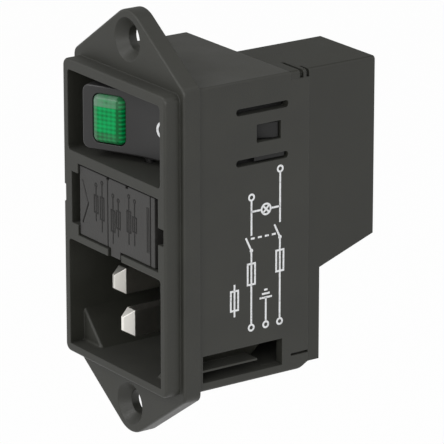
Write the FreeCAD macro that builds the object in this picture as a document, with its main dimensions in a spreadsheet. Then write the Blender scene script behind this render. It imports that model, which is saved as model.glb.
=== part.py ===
import FreeCAD, Part
import math
import os
import re
import Sketcher

# Power entry module, in millimetres. +Z is up, +X is the viewer's right and the front looks along -Y.
# The origin is midway between the two screw holes, on the rear face of the flange, where the panel lies.

SIZES = (
    # flange with its two screw ears
    ("hole_radius", 1.8), ("countersink_radius", 3.3), ("flange_thickness", 2.8), ("flange_margin", 0.85),
    ("flange_rise", 0.26), ("flange_corner", 1.5), ("flange_edge", 0.4), ("ear_radius", 4.45),
    ("ear_reach", 4.55),
    # raised bezel in front of the flange
    ("bezel_inset", 0.1), ("bezel_drop", 0.36), ("bezel_rise", 2.6), ("bezel_corner", 1.2),
    ("bezel_edge", 0.45), ("nick_depth", 0.64), ("nick_low", 0.6), ("nick_high", 3.4), ("nick_length", 1.3),
    # body behind the flange
    ("body_half_width", 13.6), ("side_wall", 1.45), ("roof_wall", 1.91), ("floor_wall", 1.44),
    ("body_round", 0.5), ("roof_step", 3.4), ("heel_length", 1.8), ("heel_height", 1.02),
    ("slit_length", 3.1), ("slit_z", 20.3), ("slit_height", 0.4), ("slit_depth", 0.7),
    # bays seen from the front: switch well, fuse bay and inlet
    ("well_low", 8.97), ("well_high", 21.28), ("bay_round", 0.6), ("bay_left", 9.6), ("bay_right", 11.6),
    ("bay_low", 3.8), ("bay_high", 7.35), ("core_gap", 0.3), ("finger_slot_width", 1.7),
    ("finger_slot_half", 4.0), ("finger_slot_z", 1.8), ("finger_slot_depth", 9.0), ("notch_width", 1.4),
    ("notch_half", 1.27), ("notch_z", 1.73), ("inlet_top", 4.85), ("inlet_bottom", 21.48),
    ("inlet_depth", 16.2), ("inlet_floor", 1.5), ("inlet_cut_width", 4.8), ("inlet_cut_height", 5.05),
    ("inlet_cut_setback", 2.5), ("inlet_cut_lip", 0.4),
    # openings in the side walls
    ("slot_front", 6.9), ("slot_rear", 16.1), ("slot_height", 1.05), ("slot_round", 0.45),
    ("upper_slot_z", 18.55), ("lower_slot_z", 10.87), ("window_front", 10.5), ("window_rear", 14.8),
    ("window_low", 13.5), ("window_high", 16.25), ("port_front", 1.0), ("port_tail", 2.9),
    ("port_low", 21.55), ("port_high", 17.4), ("shell_wall", 1.38), ("port_rib_z", 19.8),
    ("port_rib_height", 0.3), ("port_rib_gap", 0.15), ("port_rib_root", 0.5),
    # rear cover
    ("cover_wall", 1.2), ("cover_plate", 2.0), ("cover_lift", 1.02), ("cover_top", 7.5),
    ("cover_gap", 0.05), ("tower_left", 0.05), ("tower_length", 11.8), ("tower_heel", 4.06),
    ("tower_knee", 7.6), ("hook_depth", 0.5), ("front_hook_y", 18.15), ("front_hook_width", 0.65),
    ("front_hook_reach", 4.9), ("front_hook_drop", 1.2), ("rear_hook_y", 19.3), ("rear_hook_width", 0.5),
    ("rear_hook_reach", 1.9), ("rear_hook_drop", 2.4),
    # inlet pins and the size of the push-on tabs
    ("pin_pitch", 14.0), ("pin_thickness", 2.0), ("pin_height", 4.0), ("pin_offset", 2.0),
    ("pin_taper", 1.6), ("pin_tip_thickness", 0.5), ("pin_tip_height", 2.1), ("power_pin_recess", 4.45),
    ("earth_pin_recess", 1.35), ("pin_root", 0.8), ("tab_thickness", 0.8), ("tab_width", 4.8),
    ("tab_length", 8.0), ("tab_corner", 1.2), ("tab_hole", 0.9), ("tab_hole_setback", 3.2),
    # rocker, drawn about its own pivot and turned to the off position
    ("pivot_y", 1.05), ("rocker_tilt", 20.0), ("rocker_dish", 5.0), ("rocker_valley", 24.0),
    ("rocker_end_gap", 2.3), ("rocker_side_gap", 1.235), ("rocker_crown", 2.5), ("rocker_corner", 1.2),
    ("rocker_edge", 0.3), ("rocker_wall", 1.0), ("rocker_skin", 1.4), ("rocker_end_low", 0.6),
    ("rocker_boss_half", 3.2), ("rocker_boss_low", 4.0), ("rocker_boss_wall", 0.6),
    ("trunnion_radius", 0.7), ("trunnion_seat", 0.965), ("trunnion_gap", 0.05), ("lens_end_border", 1.95),
    ("lens_side_border", 1.27), ("lens_length", 5.35), ("lens_rise", 0.55), ("lens_gap", 0.15),
    ("lens_corner", 1.0), ("lens_edge", 0.35), ("lens_seat", 0.8), ("light_margin", 0.6), ("lamp_x", 5.6),
    ("lamp_y", 0.6), ("lamp_radius", 1.5), ("lamp_length", 6.0), ("resistor_radius", 0.9),
    ("resistor_length", 4.6), ("lead_radius", 0.2), ("end_slope", 0.4),
    # contact work of the switch
    ("plunger_radius", 1.1), ("plunger_reach", 8.0), ("plunger_head", 2.2), ("plunger_gap", 0.35),
    ("bore_gap", 0.1), ("bore_top", 1.0), ("spring_radius", 0.85), ("spring_wire", 0.26),
    ("spring_turns", 4.0), ("spring_gap", 0.02), ("lever_rise", 20.0), ("lever_swing", 8.0),
    ("lever_arm", 5.4), ("lever_thickness", 0.4), ("lever_width", 2.4), ("contact_near", 3.6),
    ("contact_far", 5.2), ("contact_height", 0.5), ("contact_border", 0.4), ("contact_width", 1.8),
    ("contact_drop", 0.2), ("saddle_gap", 0.07), ("saddle_height", 2.8), ("bead_radius", 0.25),
    ("line_tab_x", 4.5), ("neutral_tab_x", 9.5), ("line_feed_x", 8.0), ("neutral_feed_x", 2.2),
    ("base_reach", 5.45), ("base_gap", 0.1), ("chamber_gap", 0.6), ("chamber_rim", 1.75), ("barrier", 0.7),
    ("base_rim", 0.85), ("lug_rise", 1.25), ("lug_flat", 0.8), ("lug_gap", 0.2), ("lug_root", 0.2),
    ("rib_front", 10.3), ("rib_gap", 0.3),
    # fuse links and their contacts
    ("fuse_x", 4.65), ("fuse_z", 1.2), ("fuse_front", 3.1), ("fuse_length", 20.0), ("fuse_end_gap", 0.1),
    ("cap_radius", 2.6), ("cap_length", 6.0), ("cap_wall", 0.3), ("glass_radius", 2.3), ("glass_wall", 0.5),
    ("wire_radius", 0.12), ("strip_thickness", 0.4), ("strip_width", 1.8), ("strip_shift", 1.15),
    ("leaf_gap", 0.1), ("leaf_setback", 0.7), ("leaf_length", 4.2), ("leaf_lip", 1.2), ("leaf_lift", 0.7),
    ("leaf_bend", 0.2), ("bus_thickness", 0.5), ("bus_clearance", 0.8), ("bus_spacing", 0.45),
    ("bus_width", 1.5), ("bus_gap", 0.55), ("riser_width", 1.8), ("ledge_gap", 0.2),
    # fuse drawer
    ("drawer_gap", 0.3), ("drawer_recess", 0.2), ("drawer_plate", 1.8), ("carrier_inset", 0.2),
    ("latch_slot", 0.3), ("latch_arm", 0.95), ("latch_gap", 1.15), ("latch_length", 13.0),
    ("latch_root", 2.0), ("latch_bump", 1.95), ("latch_half", 1.0), ("latch_margin", 0.6),
    ("bump_setback", 1.0), ("bump_length", 2.0), ("tongue_left", 1.1), ("tongue_right", 1.35),
    ("tongue_drop", 1.2), ("tongue_gap", 0.55), ("trough_gap", 0.15), ("lip_depth", 0.6),
    ("arrow_near", 8.75), ("arrow_tip", 7.2), ("arrow_half", 3.3), ("arrow_stroke", 0.35), ("relief", 0.2),
    ("grip_x", 8.4), ("grip_width", 0.22), ("grip_pitch", 0.42), ("grip_low", 1.6), ("grip_high", 5.3),
    ("rule_x", 1.7), ("rule_width", 0.3), ("top_nick_x", 3.2), ("top_nick_width", 0.7),
    ("top_nick_height", 0.35),
)

# Sizes and places that follow from the ones above, so that the pieces keep fitting each other

DERIVED = {
    "rim_y": "-flange_thickness - bezel_rise",
    "body_top": "well_high + roof_wall",
    "body_bottom": "inlet_bottom + floor_wall",
    "flange_half_width": "body_half_width + flange_margin",
    "flange_half_height": "max(body_top; body_bottom) + flange_rise",
    "hole_z": "flange_half_height + ear_reach",
    "bezel_half_width": "body_half_width - bezel_inset",
    "bezel_half_height": "max(body_top; body_bottom) - bezel_drop",
    "well_half_width": "body_half_width - side_wall",
    "well_half": "(well_high - well_low) / 2",
    "well_middle": "(well_low + well_high) / 2",
    "floor_front": "rim_y + inlet_depth",
    "floor_back": "floor_front + inlet_floor",
    "inlet_middle": "-(inlet_top + inlet_bottom) / 2",
    "inlet_cut_x": "well_half_width - inlet_cut_width",
    "inlet_cut_z": "inlet_cut_height - inlet_bottom",
    "drawer_end": "fuse_length - fuse_front + fuse_end_gap + lip_depth",
    "core_end": "drawer_end + core_gap",
    "line_bus_y": "drawer_end + bus_clearance",
    "neutral_bus_y": "line_bus_y + bus_thickness + bus_spacing",
    "skirt_length": "neutral_bus_y + bus_thickness + cover_gap",
    "roof_length": "skirt_length - roof_step",
    "cover_depth": "skirt_length + cover_plate",
    "cover_bottom": "body_bottom - cover_lift",
    "cover_ceiling": "body_top - cover_wall",
    "cover_ledge": "cover_top - cover_wall - ledge_gap",
    "tower_depth": "skirt_length + tower_length",
    "rocker_half_length": "well_half_width - rocker_end_gap",
    "rocker_half_width": "well_half - rocker_side_gap",
    "rocker_end_top": "rocker_crown + rocker_half_length * tan(rocker_dish * 1 deg)",
    "trunnion_reach": "well_half + trunnion_seat",
    "lens_outer": "rocker_half_length - lens_end_border",
    "lens_inner": "lens_outer - lens_length",
    "lens_half_height": "rocker_half_width - lens_side_border",
    "pole_offset": "(barrier / 2 + well_half - base_rim) / 2",
    "lever_y": "pivot_y + plunger_reach + lever_thickness + plunger_gap",
    "fixed_contact_y": "lever_y - contact_drop",
    "jog_y": "lever_y + saddle_height",
    "base_front": "pivot_y + base_reach",
    "base_half": "well_half_width - base_gap",
    "chamber_end": "jog_y + tab_thickness + chamber_gap",
    "drawer_right": "bay_right - latch_gap - latch_arm - latch_slot",
    "latch_low": "notch_z - latch_half - latch_margin",
    "latch_high": "notch_z + latch_half + latch_margin",
    "drawer_face": "rim_y + drawer_recess",
    "drawer_back": "drawer_face + drawer_plate",
    "front_leaf_y": "cap_length - fuse_front + leaf_setback",
    "rear_leaf_y": "fuse_length - fuse_front - leaf_setback",
}
ALIASES = {alias for alias, value in SIZES}

doc = FreeCAD.newDocument("power_entry_module")
sheet = doc.addObject("Spreadsheet::Sheet", "Sizes")
for row, (alias, value) in enumerate(SIZES, start=1):
    sheet.set(f"A{row}", alias)
    sheet.set(f"B{row}", str(value))
    sheet.setAlias(f"B{row}", alias)
doc.recompute()


# Expressions on the sheet

def tied(text):
    """The expression with the sheet's name before each alias and each derived size written out."""
    def spell(word):
        if word[0] in ALIASES:
            return f"Sizes.{word[0]}"
        return f"({tied(DERIVED[word[0]])})" if word[0] in DERIVED else word[0]
    return re.sub(r"[a-z_]\w*", spell, str(text))


def value_of(text):
    """The expression's present value, as a plain number."""
    return float(sheet.evalExpression(tied(text)))


def bind(item, **properties):
    """Ties properties to expressions; a double underscore in a name stands for a dot."""
    for name, text in properties.items():
        item.setExpression(name.replace("__", "."), tied(text))


# Sketches and features

NORMAL_SIGN = {"XY": 1, "YZ": 1, "XZ": -1}


def new_body(name):
    body = doc.addObject("PartDesign::Body", name)
    body.Label = name
    return body


def new_sketch(body, name, plane, station):
    """An empty sketch parallel to one of the body's own origin planes, at a station along its axis."""
    sketch = body.newObject("Sketcher::SketchObject", name)
    support = next(item for item in body.Origin.OriginFeatures if item.Role == f"{plane}_Plane")
    sketch.AttachmentSupport = [(support, "")]
    sketch.MapMode = "FlatFace"
    bind(sketch, AttachmentOffset__Base__z=f"{NORMAL_SIGN[plane]} * ({station})")
    return sketch


def pin_point(sketch, geometry, position, place):
    """Holds one point of the sketch at a pair of expressions, measured from the origin."""
    for kind, text in zip(("DistanceX", "DistanceY"), place):
        number = sketch.addConstraint(Sketcher.Constraint(kind, -1, 1, geometry, position, value_of(text)))
        sketch.setExpression(f"Constraints[{number}]", tied(text))


def draw_polygon(sketch, corners):
    """A closed outline of straight lines, each corner tied to its own pair of expressions."""
    points = [FreeCAD.Vector(value_of(x), value_of(y), 0) for x, y in corners]
    first = len(sketch.Geometry)
    count = len(points)
    for step in range(count):
        sketch.addGeometry(Part.LineSegment(points[step], points[(step + 1) % count]))
    for step in range(count):
        joint = (first + step, 2, first + (step + 1) % count, 1)
        sketch.addConstraint(Sketcher.Constraint("Coincident", *joint))
        pin_point(sketch, first + step, 1, corners[step])


def draw_circle(sketch, centre, radius):
    middle = FreeCAD.Vector(value_of(centre[0]), value_of(centre[1]), 0)
    number = sketch.addGeometry(Part.Circle(middle, FreeCAD.Vector(0, 0, 1), value_of(radius)))
    pin_point(sketch, number, 3, centre)
    size = sketch.addConstraint(Sketcher.Constraint("Radius", number, value_of(radius)))
    sketch.setExpression(f"Constraints[{size}]", tied(radius))


def box_outline(left, right, low, high):
    return ((left, low), (right, low), (right, high), (left, high))


def extrude(body, name, plane, outline, start, end, cut=False):
    """A pad or pocket of an outline between two stations along the plane's axis, start below end."""
    pads_forward = NORMAL_SIGN[plane] > 0
    station = start if pads_forward != cut else end
    sketch = new_sketch(body, f"{name}_sketch", plane, station)
    if callable(outline):
        outline(sketch)
    else:
        draw_polygon(sketch, outline)
    feature = body.newObject("PartDesign::Pocket" if cut else "PartDesign::Pad", name)
    feature.Profile = sketch
    bind(feature, Length=f"({end}) - ({start})")
    sketch.Visibility = False
    doc.recompute()
    return feature


def round_edges(body, name, radius, test, kind="Fillet"):
    """Rounds (or chamfers) the edges of the body's present shape whose middle passes the test."""
    base = body.Tip
    names = []
    for number, edge in enumerate(base.Shape.Edges, start=1):
        if not edge.Degenerated and test(edge, edge.CenterOfMass):
            names.append(f"Edge{number}")
    feature = body.newObject(f"PartDesign::{kind}", name)
    feature.Base = (base, names)
    bind(feature, **{"Radius" if kind == "Fillet" else "Size": radius})
    doc.recompute()
    return feature


def runs_along(edge, axis):
    """True for a straight edge parallel to the axis number 0, 1 or 2."""
    if not isinstance(edge.Curve, Part.Line):
        return False
    return abs(abs(edge.Curve.Direction[axis]) - 1) < 1e-6


def near(value, text):
    return abs(value - value_of(text)) < 1e-3


def turn_about_z(item, angle, x, y, z):
    """Turns a finished piece about a vertical line and stands it at its place."""
    item.Placement.Rotation = FreeCAD.Rotation(FreeCAD.Vector(0, 0, 1), 0)
    bind(item, Placement__Rotation__Angle=angle)
    bind(item, Placement__Base__x=x, Placement__Base__y=y, Placement__Base__z=z)


POLES = (("line", 1), ("neutral", -1))


# Housing

def flange_outline(sketch):
    """Rectangle with two ears: each ear is an arc about its screw hole and two lines tangent to it."""
    half_width, half_height = value_of("flange_half_width"), value_of("flange_half_height")
    centre, radius = value_of("hole_z"), value_of("ear_radius")
    lean = math.atan2(centre - half_height, half_width)
    reach = math.hypot(half_width, centre - half_height)
    angle = math.acos(radius / reach) - lean
    touch = FreeCAD.Vector(radius * math.cos(angle), centre + radius * math.sin(angle), 0)
    corner = FreeCAD.Vector(half_width, half_height, 0)
    axis = FreeCAD.Vector(0, 0, 1)

    def at(point, across, up):
        return FreeCAD.Vector(point.x * across, point.y * up, 0)

    lines = (
        (at(corner, 1, -1), corner), (corner, touch),
        (at(touch, -1, 1), at(corner, -1, 1)), (at(corner, -1, 1), at(corner, -1, -1)),
        (at(corner, -1, -1), at(touch, -1, -1)), (at(touch, 1, -1), at(corner, 1, -1)),
    )
    for start, end in lines:
        sketch.addGeometry(Part.LineSegment(start, end))
    top = Part.Circle(FreeCAD.Vector(0, centre, 0), axis, radius)
    low = Part.Circle(FreeCAD.Vector(0, -centre, 0), axis, radius)
    sketch.addGeometry(Part.ArcOfCircle(top, angle, math.pi - angle))
    sketch.addGeometry(Part.ArcOfCircle(low, math.pi + angle, 2 * math.pi - angle))
    for first, second in ((0, 1), (2, 3), (3, 4), (5, 0)):
        sketch.addConstraint(Sketcher.Constraint("Coincident", first, 2, second, 1))
    for line, line_end, arc, arc_end in ((1, 2, 6, 1), (2, 1, 6, 2), (4, 2, 7, 1), (5, 1, 7, 2)):
        sketch.addConstraint(Sketcher.Constraint("Tangent", line, line_end, arc, arc_end))
    pin_point(sketch, 1, 1, ("flange_half_width", "flange_half_height"))
    pin_point(sketch, 3, 1, ("-flange_half_width", "flange_half_height"))
    pin_point(sketch, 4, 1, ("-flange_half_width", "-flange_half_height"))
    pin_point(sketch, 0, 1, ("flange_half_width", "-flange_half_height"))
    pin_point(sketch, 6, 3, ("0", "hole_z"))
    pin_point(sketch, 7, 3, ("0", "-hole_z"))
    for arc in (6, 7):
        size = sketch.addConstraint(Sketcher.Constraint("Radius", arc, radius))
        sketch.setExpression(f"Constraints[{size}]", tied("ear_radius"))


def both_holes(radius):
    """Sketch content: the pair of circles on the screw pitch."""
    def draw(sketch):
        for side in (1, -1):
            draw_circle(sketch, ("0", f"{side} * hole_z"), radius)
    return draw


def shell_outside(depth):
    """Outer face of the wall beside the inlet's cut corner, at a depth below the screw holes' middle."""
    fall = f"({depth} + inlet_cut_z)"
    return f"(well_half_width + shell_wall - {fall} * inlet_cut_width / inlet_cut_height)"


def make_housing():
    body = new_body("housing")
    extrude(body, "flange", "XZ", flange_outline, "-flange_thickness", "0")
    round_edges(body, "flange_corners", "flange_corner", lambda edge, middle: runs_along(edge, 1)
                and near(abs(middle.x), "flange_half_width"))
    round_edges(body, "flange_rim", "flange_edge", lambda edge, middle: near(middle.y, "-flange_thickness"))
    extrude(body, "bezel", "XZ", box_outline("-bezel_half_width", "bezel_half_width", "-bezel_half_height",
            "bezel_half_height"), "rim_y", "-flange_thickness")
    round_edges(body, "bezel_corners", "bezel_corner", lambda edge, middle: runs_along(edge, 1)
                and near(abs(middle.x), "bezel_half_width") and near(abs(middle.z), "bezel_half_height"))
    round_edges(body, "bezel_rim", "bezel_edge", lambda edge, middle: near(middle.y, "rim_y"))
    extrude(body, "barrel", "XZ", box_outline("-body_half_width", "body_half_width", "-body_bottom",
            "body_top"), "0", "roof_length")
    skirt = (("roof_length", "-body_bottom"), ("skirt_length - heel_length", "-body_bottom"),
             ("skirt_length", "heel_height - body_bottom"), ("skirt_length", "well_low"),
             ("roof_length", "well_low"))
    extrude(body, "skirt", "YZ", skirt, "-body_half_width", "body_half_width")
    extrude(body, "right_wall", "XZ", box_outline("well_half_width", "body_half_width", "well_low",
            "cover_ceiling"), "roof_length", "skirt_length")
    round_edges(body, "roof_edges", "body_round", lambda edge, middle: runs_along(edge, 1) and middle.y > 0
                and near(abs(middle.x), "body_half_width") and (near(middle.z, "body_top")
                                                               or near(middle.z, "-body_bottom")))

    # The three bays, open to the front
    extrude(body, "switch_well", "XZ", box_outline("-well_half_width", "well_half_width", "well_low",
            "well_high"), "rim_y", "skirt_length", cut=True)
    extrude(body, "fuse_bay", "XZ", box_outline("-bay_left", "bay_right", "-bay_low", "bay_high"),
            "rim_y", "skirt_length", cut=True)
    extrude(body, "finger_slot", "XZ", box_outline("-bay_left - finger_slot_width", "-bay_left",
            "finger_slot_z - finger_slot_half", "finger_slot_z + finger_slot_half"),
            "rim_y", "rim_y + finger_slot_depth", cut=True)
    extrude(body, "latch_groove", "XZ", box_outline("bay_right", "bay_right + notch_width",
            "notch_z - notch_half", "notch_z + notch_half"), "rim_y",
            "drawer_face + latch_length + drawer_gap", cut=True)
    extrude(body, "tongue_gap_cut", "XZ", box_outline("-tongue_left - tongue_gap",
            "tongue_right + tongue_gap", "-inlet_top", "-bay_low"), "rim_y", "drawer_back + tongue_gap",
            cut=True)
    inlet = box_outline("-well_half_width", "well_half_width", "-inlet_bottom", "-inlet_top")
    extrude(body, "inlet_mouth", "XZ", inlet, "rim_y", "rim_y + inlet_cut_setback", cut=True)
    profile = (("-inlet_cut_x", "-inlet_bottom"), ("inlet_cut_x", "-inlet_bottom"),
               ("well_half_width", "inlet_cut_z"), ("well_half_width", "-inlet_top"),
               ("-well_half_width", "-inlet_top"), ("-well_half_width", "inlet_cut_z"))
    extrude(body, "inlet_shell", "XZ", profile, "rim_y + inlet_cut_setback", "floor_front", cut=True)
    round_edges(body, "bay_corners", "bay_round", lambda edge, middle: runs_along(edge, 1)
            and middle.y < value_of("floor_back") and near(abs(middle.x), "well_half_width")
            and (near(middle.z, "well_low") or near(middle.z, "well_high") or near(middle.z, "-inlet_top")))

    round_edges(body, "inlet_cut_lips", "inlet_cut_lip",
                lambda edge, middle: near(middle.y, "rim_y + inlet_cut_setback")
                and near(abs(middle.x), "(well_half_width + inlet_cut_x) / 2"))

    # Hollows behind the inlet floor, open to the rear
    extrude(body, "rear_hollow", "XZ", inlet, "floor_back", "skirt_length", cut=True)
    extrude(body, "riser_way", "XZ", box_outline("-bay_left", "bay_left", "-inlet_top", "-bay_low"),
            "core_end", "skirt_length", cut=True)
    extrude(body, "bus_way", "XZ", box_outline("tower_left + cover_wall", "bay_left", "bay_high",
            "well_low"), "core_end", "skirt_length", cut=True)

    # Openings in the side walls: snap tongue with its window, and the port beside the cut corner
    for side, mark in ((1, "right"), (-1, "left")):
        start = "well_half_width" if side > 0 else "-body_half_width"
        end = "body_half_width" if side > 0 else "-well_half_width"
        for slot in ("upper", "lower"):
            middle = f"{slot}_slot_z"
            extrude(body, f"{mark}_{slot}_slot", "YZ", box_outline("slot_front", "slot_rear",
                    f"{middle} - slot_height / 2", f"{middle} + slot_height / 2"), start, end, cut=True)
        extrude(body, f"{mark}_window", "YZ", box_outline("window_front", "window_rear", "window_low",
                "window_high"), start, end, cut=True)
        port = ((f"{side} * body_half_width", "-port_high"),
                (f"{side} * {shell_outside('port_high')}", "-port_high"),
                (f"{side} * {shell_outside('port_low')}", "-port_low"),
                (f"{side} * body_half_width", "-port_low"))
        extrude(body, f"{mark}_port", "XZ", port, "port_front", "floor_back", cut=True)
        extrude(body, f"{mark}_port_rear", "YZ", box_outline("floor_back", "floor_back + port_tail",
                "-port_low", "-port_high"), start, end, cut=True)
        rib = [f"({shell_outside('port_rib_z')} - port_rib_root)", "(body_half_width - port_rib_gap)"]
        if side < 0:
            rib = [f"-{place}" for place in reversed(rib)]
        extrude(body, f"{mark}_port_rib", "XZ", box_outline(*rib, "-port_rib_z - port_rib_height / 2",
                "port_rib_height / 2 - port_rib_z"), "port_front", "floor_front")
    round_edges(body, "slot_ends", "slot_round", lambda edge, middle: runs_along(edge, 0)
                and abs(middle.x) > value_of("well_half_width")
                and (near(middle.y, "slot_front") or near(middle.y, "slot_rear")))

    # Nick in the bezel's left edge, and a slit at each lower rear corner
    extrude(body, "bezel_nick", "XZ", box_outline("-bezel_half_width", "nick_depth - bezel_half_width",
            "nick_low", "nick_high"), "rim_y", "rim_y + nick_length", cut=True)
    for side, mark in ((1, "right"), (-1, "left")):
        start = "body_half_width - slit_depth" if side > 0 else "-body_half_width"
        end = "body_half_width" if side > 0 else "slit_depth - body_half_width"
        extrude(body, f"{mark}_slit", "YZ", box_outline("skirt_length - slit_length", "skirt_length",
                "-slit_z - slit_height / 2", "slit_height / 2 - slit_z"), start, end, cut=True)

    # Bearings of the rocker in the roof and in the wall under the switch
    extrude(body, "bearings", "XY", lambda sketch: draw_circle(sketch, ("0", "pivot_y"),
            "trunnion_radius + trunnion_gap"), "well_middle - trunnion_reach - trunnion_gap",
            "well_middle + trunnion_reach + trunnion_gap", cut=True)

    # Seats of the three pins in the inlet floor
    seats = (("neutral", "-pin_pitch / 2", "pin_offset"), ("line", "pin_pitch / 2", "pin_offset"),
             ("earth", "0", "-pin_offset"))
    for name, place, offset in seats:
        extrude(body, f"{name}_pin_seat", "XZ", box_outline(
            f"{place} - pin_thickness / 2", f"{place} + pin_thickness / 2",
            f"inlet_middle + {offset} - pin_height / 2", f"inlet_middle + {offset} + pin_height / 2"),
            "floor_front", "floor_back", cut=True)

    # Countersunk screw holes
    extrude(body, "screw_holes", "XZ", both_holes("hole_radius"), "-flange_thickness", "0", cut=True)
    round_edges(body, "countersinks", "countersink_radius - hole_radius",
                lambda edge, middle: isinstance(edge.Curve, Part.Circle)
                and near(middle.y, "-flange_thickness") and near(abs(middle.z), "hole_z"), kind="Chamfer")
    return body


# Rear cover

def make_rear_cover():
    body = new_body("rear_cover")
    tower = (("skirt_length", "body_top"), ("tower_depth", "body_top"), ("tower_depth", "-tower_heel"),
             ("cover_depth", "-tower_knee"), ("skirt_length", "-tower_knee"))
    extrude(body, "tower", "YZ", tower, "tower_left", "body_half_width")
    extrude(body, "tower_roof", "YZ", box_outline("roof_length", "skirt_length", "cover_ceiling",
            "body_top"), "tower_left", "body_half_width")
    extrude(body, "tower_side", "YZ", box_outline("roof_length", "skirt_length", "well_low", "body_top"),
            "tower_left", "tower_left + cover_wall")
    extrude(body, "back_plate", "XZ", box_outline("-body_half_width", "body_half_width", "-cover_bottom",
            "cover_top"), "skirt_length", "cover_depth")
    round_edges(body, "tower_edges", "body_round", lambda edge, middle: runs_along(edge, 1)
                and near(middle.x, "body_half_width") and near(middle.z, "body_top"))
    for hook in ("front", "rear"):
        start, end = f"{hook}_hook_y", f"{hook}_hook_y + {hook}_hook_width"
        groove = ((f"body_half_width - {hook}_hook_reach", "body_top"),
                  (f"body_half_width - {hook}_hook_reach", "body_top - hook_depth"),
                  ("body_half_width - hook_depth", "body_top - hook_depth"),
                  ("body_half_width - hook_depth", f"body_top - {hook}_hook_drop"),
                  ("body_half_width", f"body_top - {hook}_hook_drop"), ("body_half_width", "body_top"))
        extrude(body, f"{hook}_hook", "XZ", groove, start, end, cut=True)
    hollow = (("roof_length", "cover_ceiling"), ("tower_depth - cover_wall", "cover_ceiling"),
              ("tower_depth - cover_wall", "cover_wall - tower_heel"),
              ("cover_depth", "cover_wall - tower_knee"), ("skirt_length", "cover_wall - tower_knee"),
              ("skirt_length", "well_low"), ("roof_length", "well_low"))
    extrude(body, "tower_hollow", "YZ", hollow, "tower_left + cover_wall", "body_half_width - cover_wall",
            cut=True)
    extrude(body, "plate_hollow", "XZ", box_outline("cover_wall - body_half_width",
            "body_half_width - cover_wall", "cover_wall - cover_bottom", "cover_top - cover_wall"),
            "skirt_length", "cover_depth - cover_wall", cut=True)
    extrude(body, "earth_slot", "XZ", box_outline("-tab_thickness / 2 - base_gap",
            "tab_thickness / 2 + base_gap", "inlet_middle - pin_offset - tab_width / 2 - base_gap",
            "inlet_middle - pin_offset + tab_width / 2 + base_gap"), "cover_depth - cover_wall",
            "cover_depth", cut=True)
    return body


# Inlet pins

def make_pin(name, x, offset, recess, tail):
    """A flat pin with a tapered tip, passing through the inlet floor."""
    body = new_body(name)
    middle = f"(inlet_middle + {offset})"
    tip = f"(rim_y + {recess})"
    extrude(body, f"{name}_blade", "XZ", box_outline(f"{x} - pin_thickness / 2", f"{x} + pin_thickness / 2",
            f"{middle} - pin_height / 2", f"{middle} + pin_height / 2"), f"{tip} + pin_taper", tail)
    loft = body.newObject("PartDesign::AdditiveLoft", f"{name}_tip")
    sections = []
    for station, width, height in ((f"{tip} + pin_taper", "pin_thickness", "pin_height"),
                                   (tip, "pin_tip_thickness", "pin_tip_height")):
        sketch = new_sketch(body, f"{name}_section_{len(sections)}", "XZ", station)
        draw_polygon(sketch, box_outline(f"{x} - {width} / 2", f"{x} + {width} / 2",
                                         f"{middle} - {height} / 2", f"{middle} + {height} / 2"))
        sections.append(sketch)
    loft.Profile = sections[0]
    loft.Sections = [sections[1]]
    loft.Ruled = True
    doc.recompute()
    return body


def make_pins():
    make_pin("line_pin", "pin_pitch / 2", "pin_offset", "power_pin_recess", "line_bus_y")
    make_pin("neutral_pin", "-pin_pitch / 2", "pin_offset", "power_pin_recess", "line_bus_y")
    body = make_pin("earth_pin", "0", "-pin_offset", "earth_pin_recess", "floor_back + pin_root")
    extrude(body, "earth_tab", "YZ", tab_outline("floor_back + pin_root", "cover_depth",
            "(inlet_middle - pin_offset)"), "-tab_thickness / 2", "tab_thickness / 2")


def tab_outline(root, start, middle):
    """Blade of a push-on tab in the YZ plane, from its root to a tab's length past the start."""
    low, high, end = f"{middle} - tab_width / 2", f"{middle} + tab_width / 2", f"{start} + tab_length"
    return ((root, low), (f"{end} - tab_corner", low), (end, f"{low} + tab_corner"),
            (end, f"{high} - tab_corner"), (f"{end} - tab_corner", high), (root, high))


# Rocker, lens, lamp: drawn level about the pivot, front towards -Y

def stand_on_pivot(item, z="well_middle"):
    turn_about_z(item, "rocker_tilt", "0", "pivot_y", z)


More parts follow.
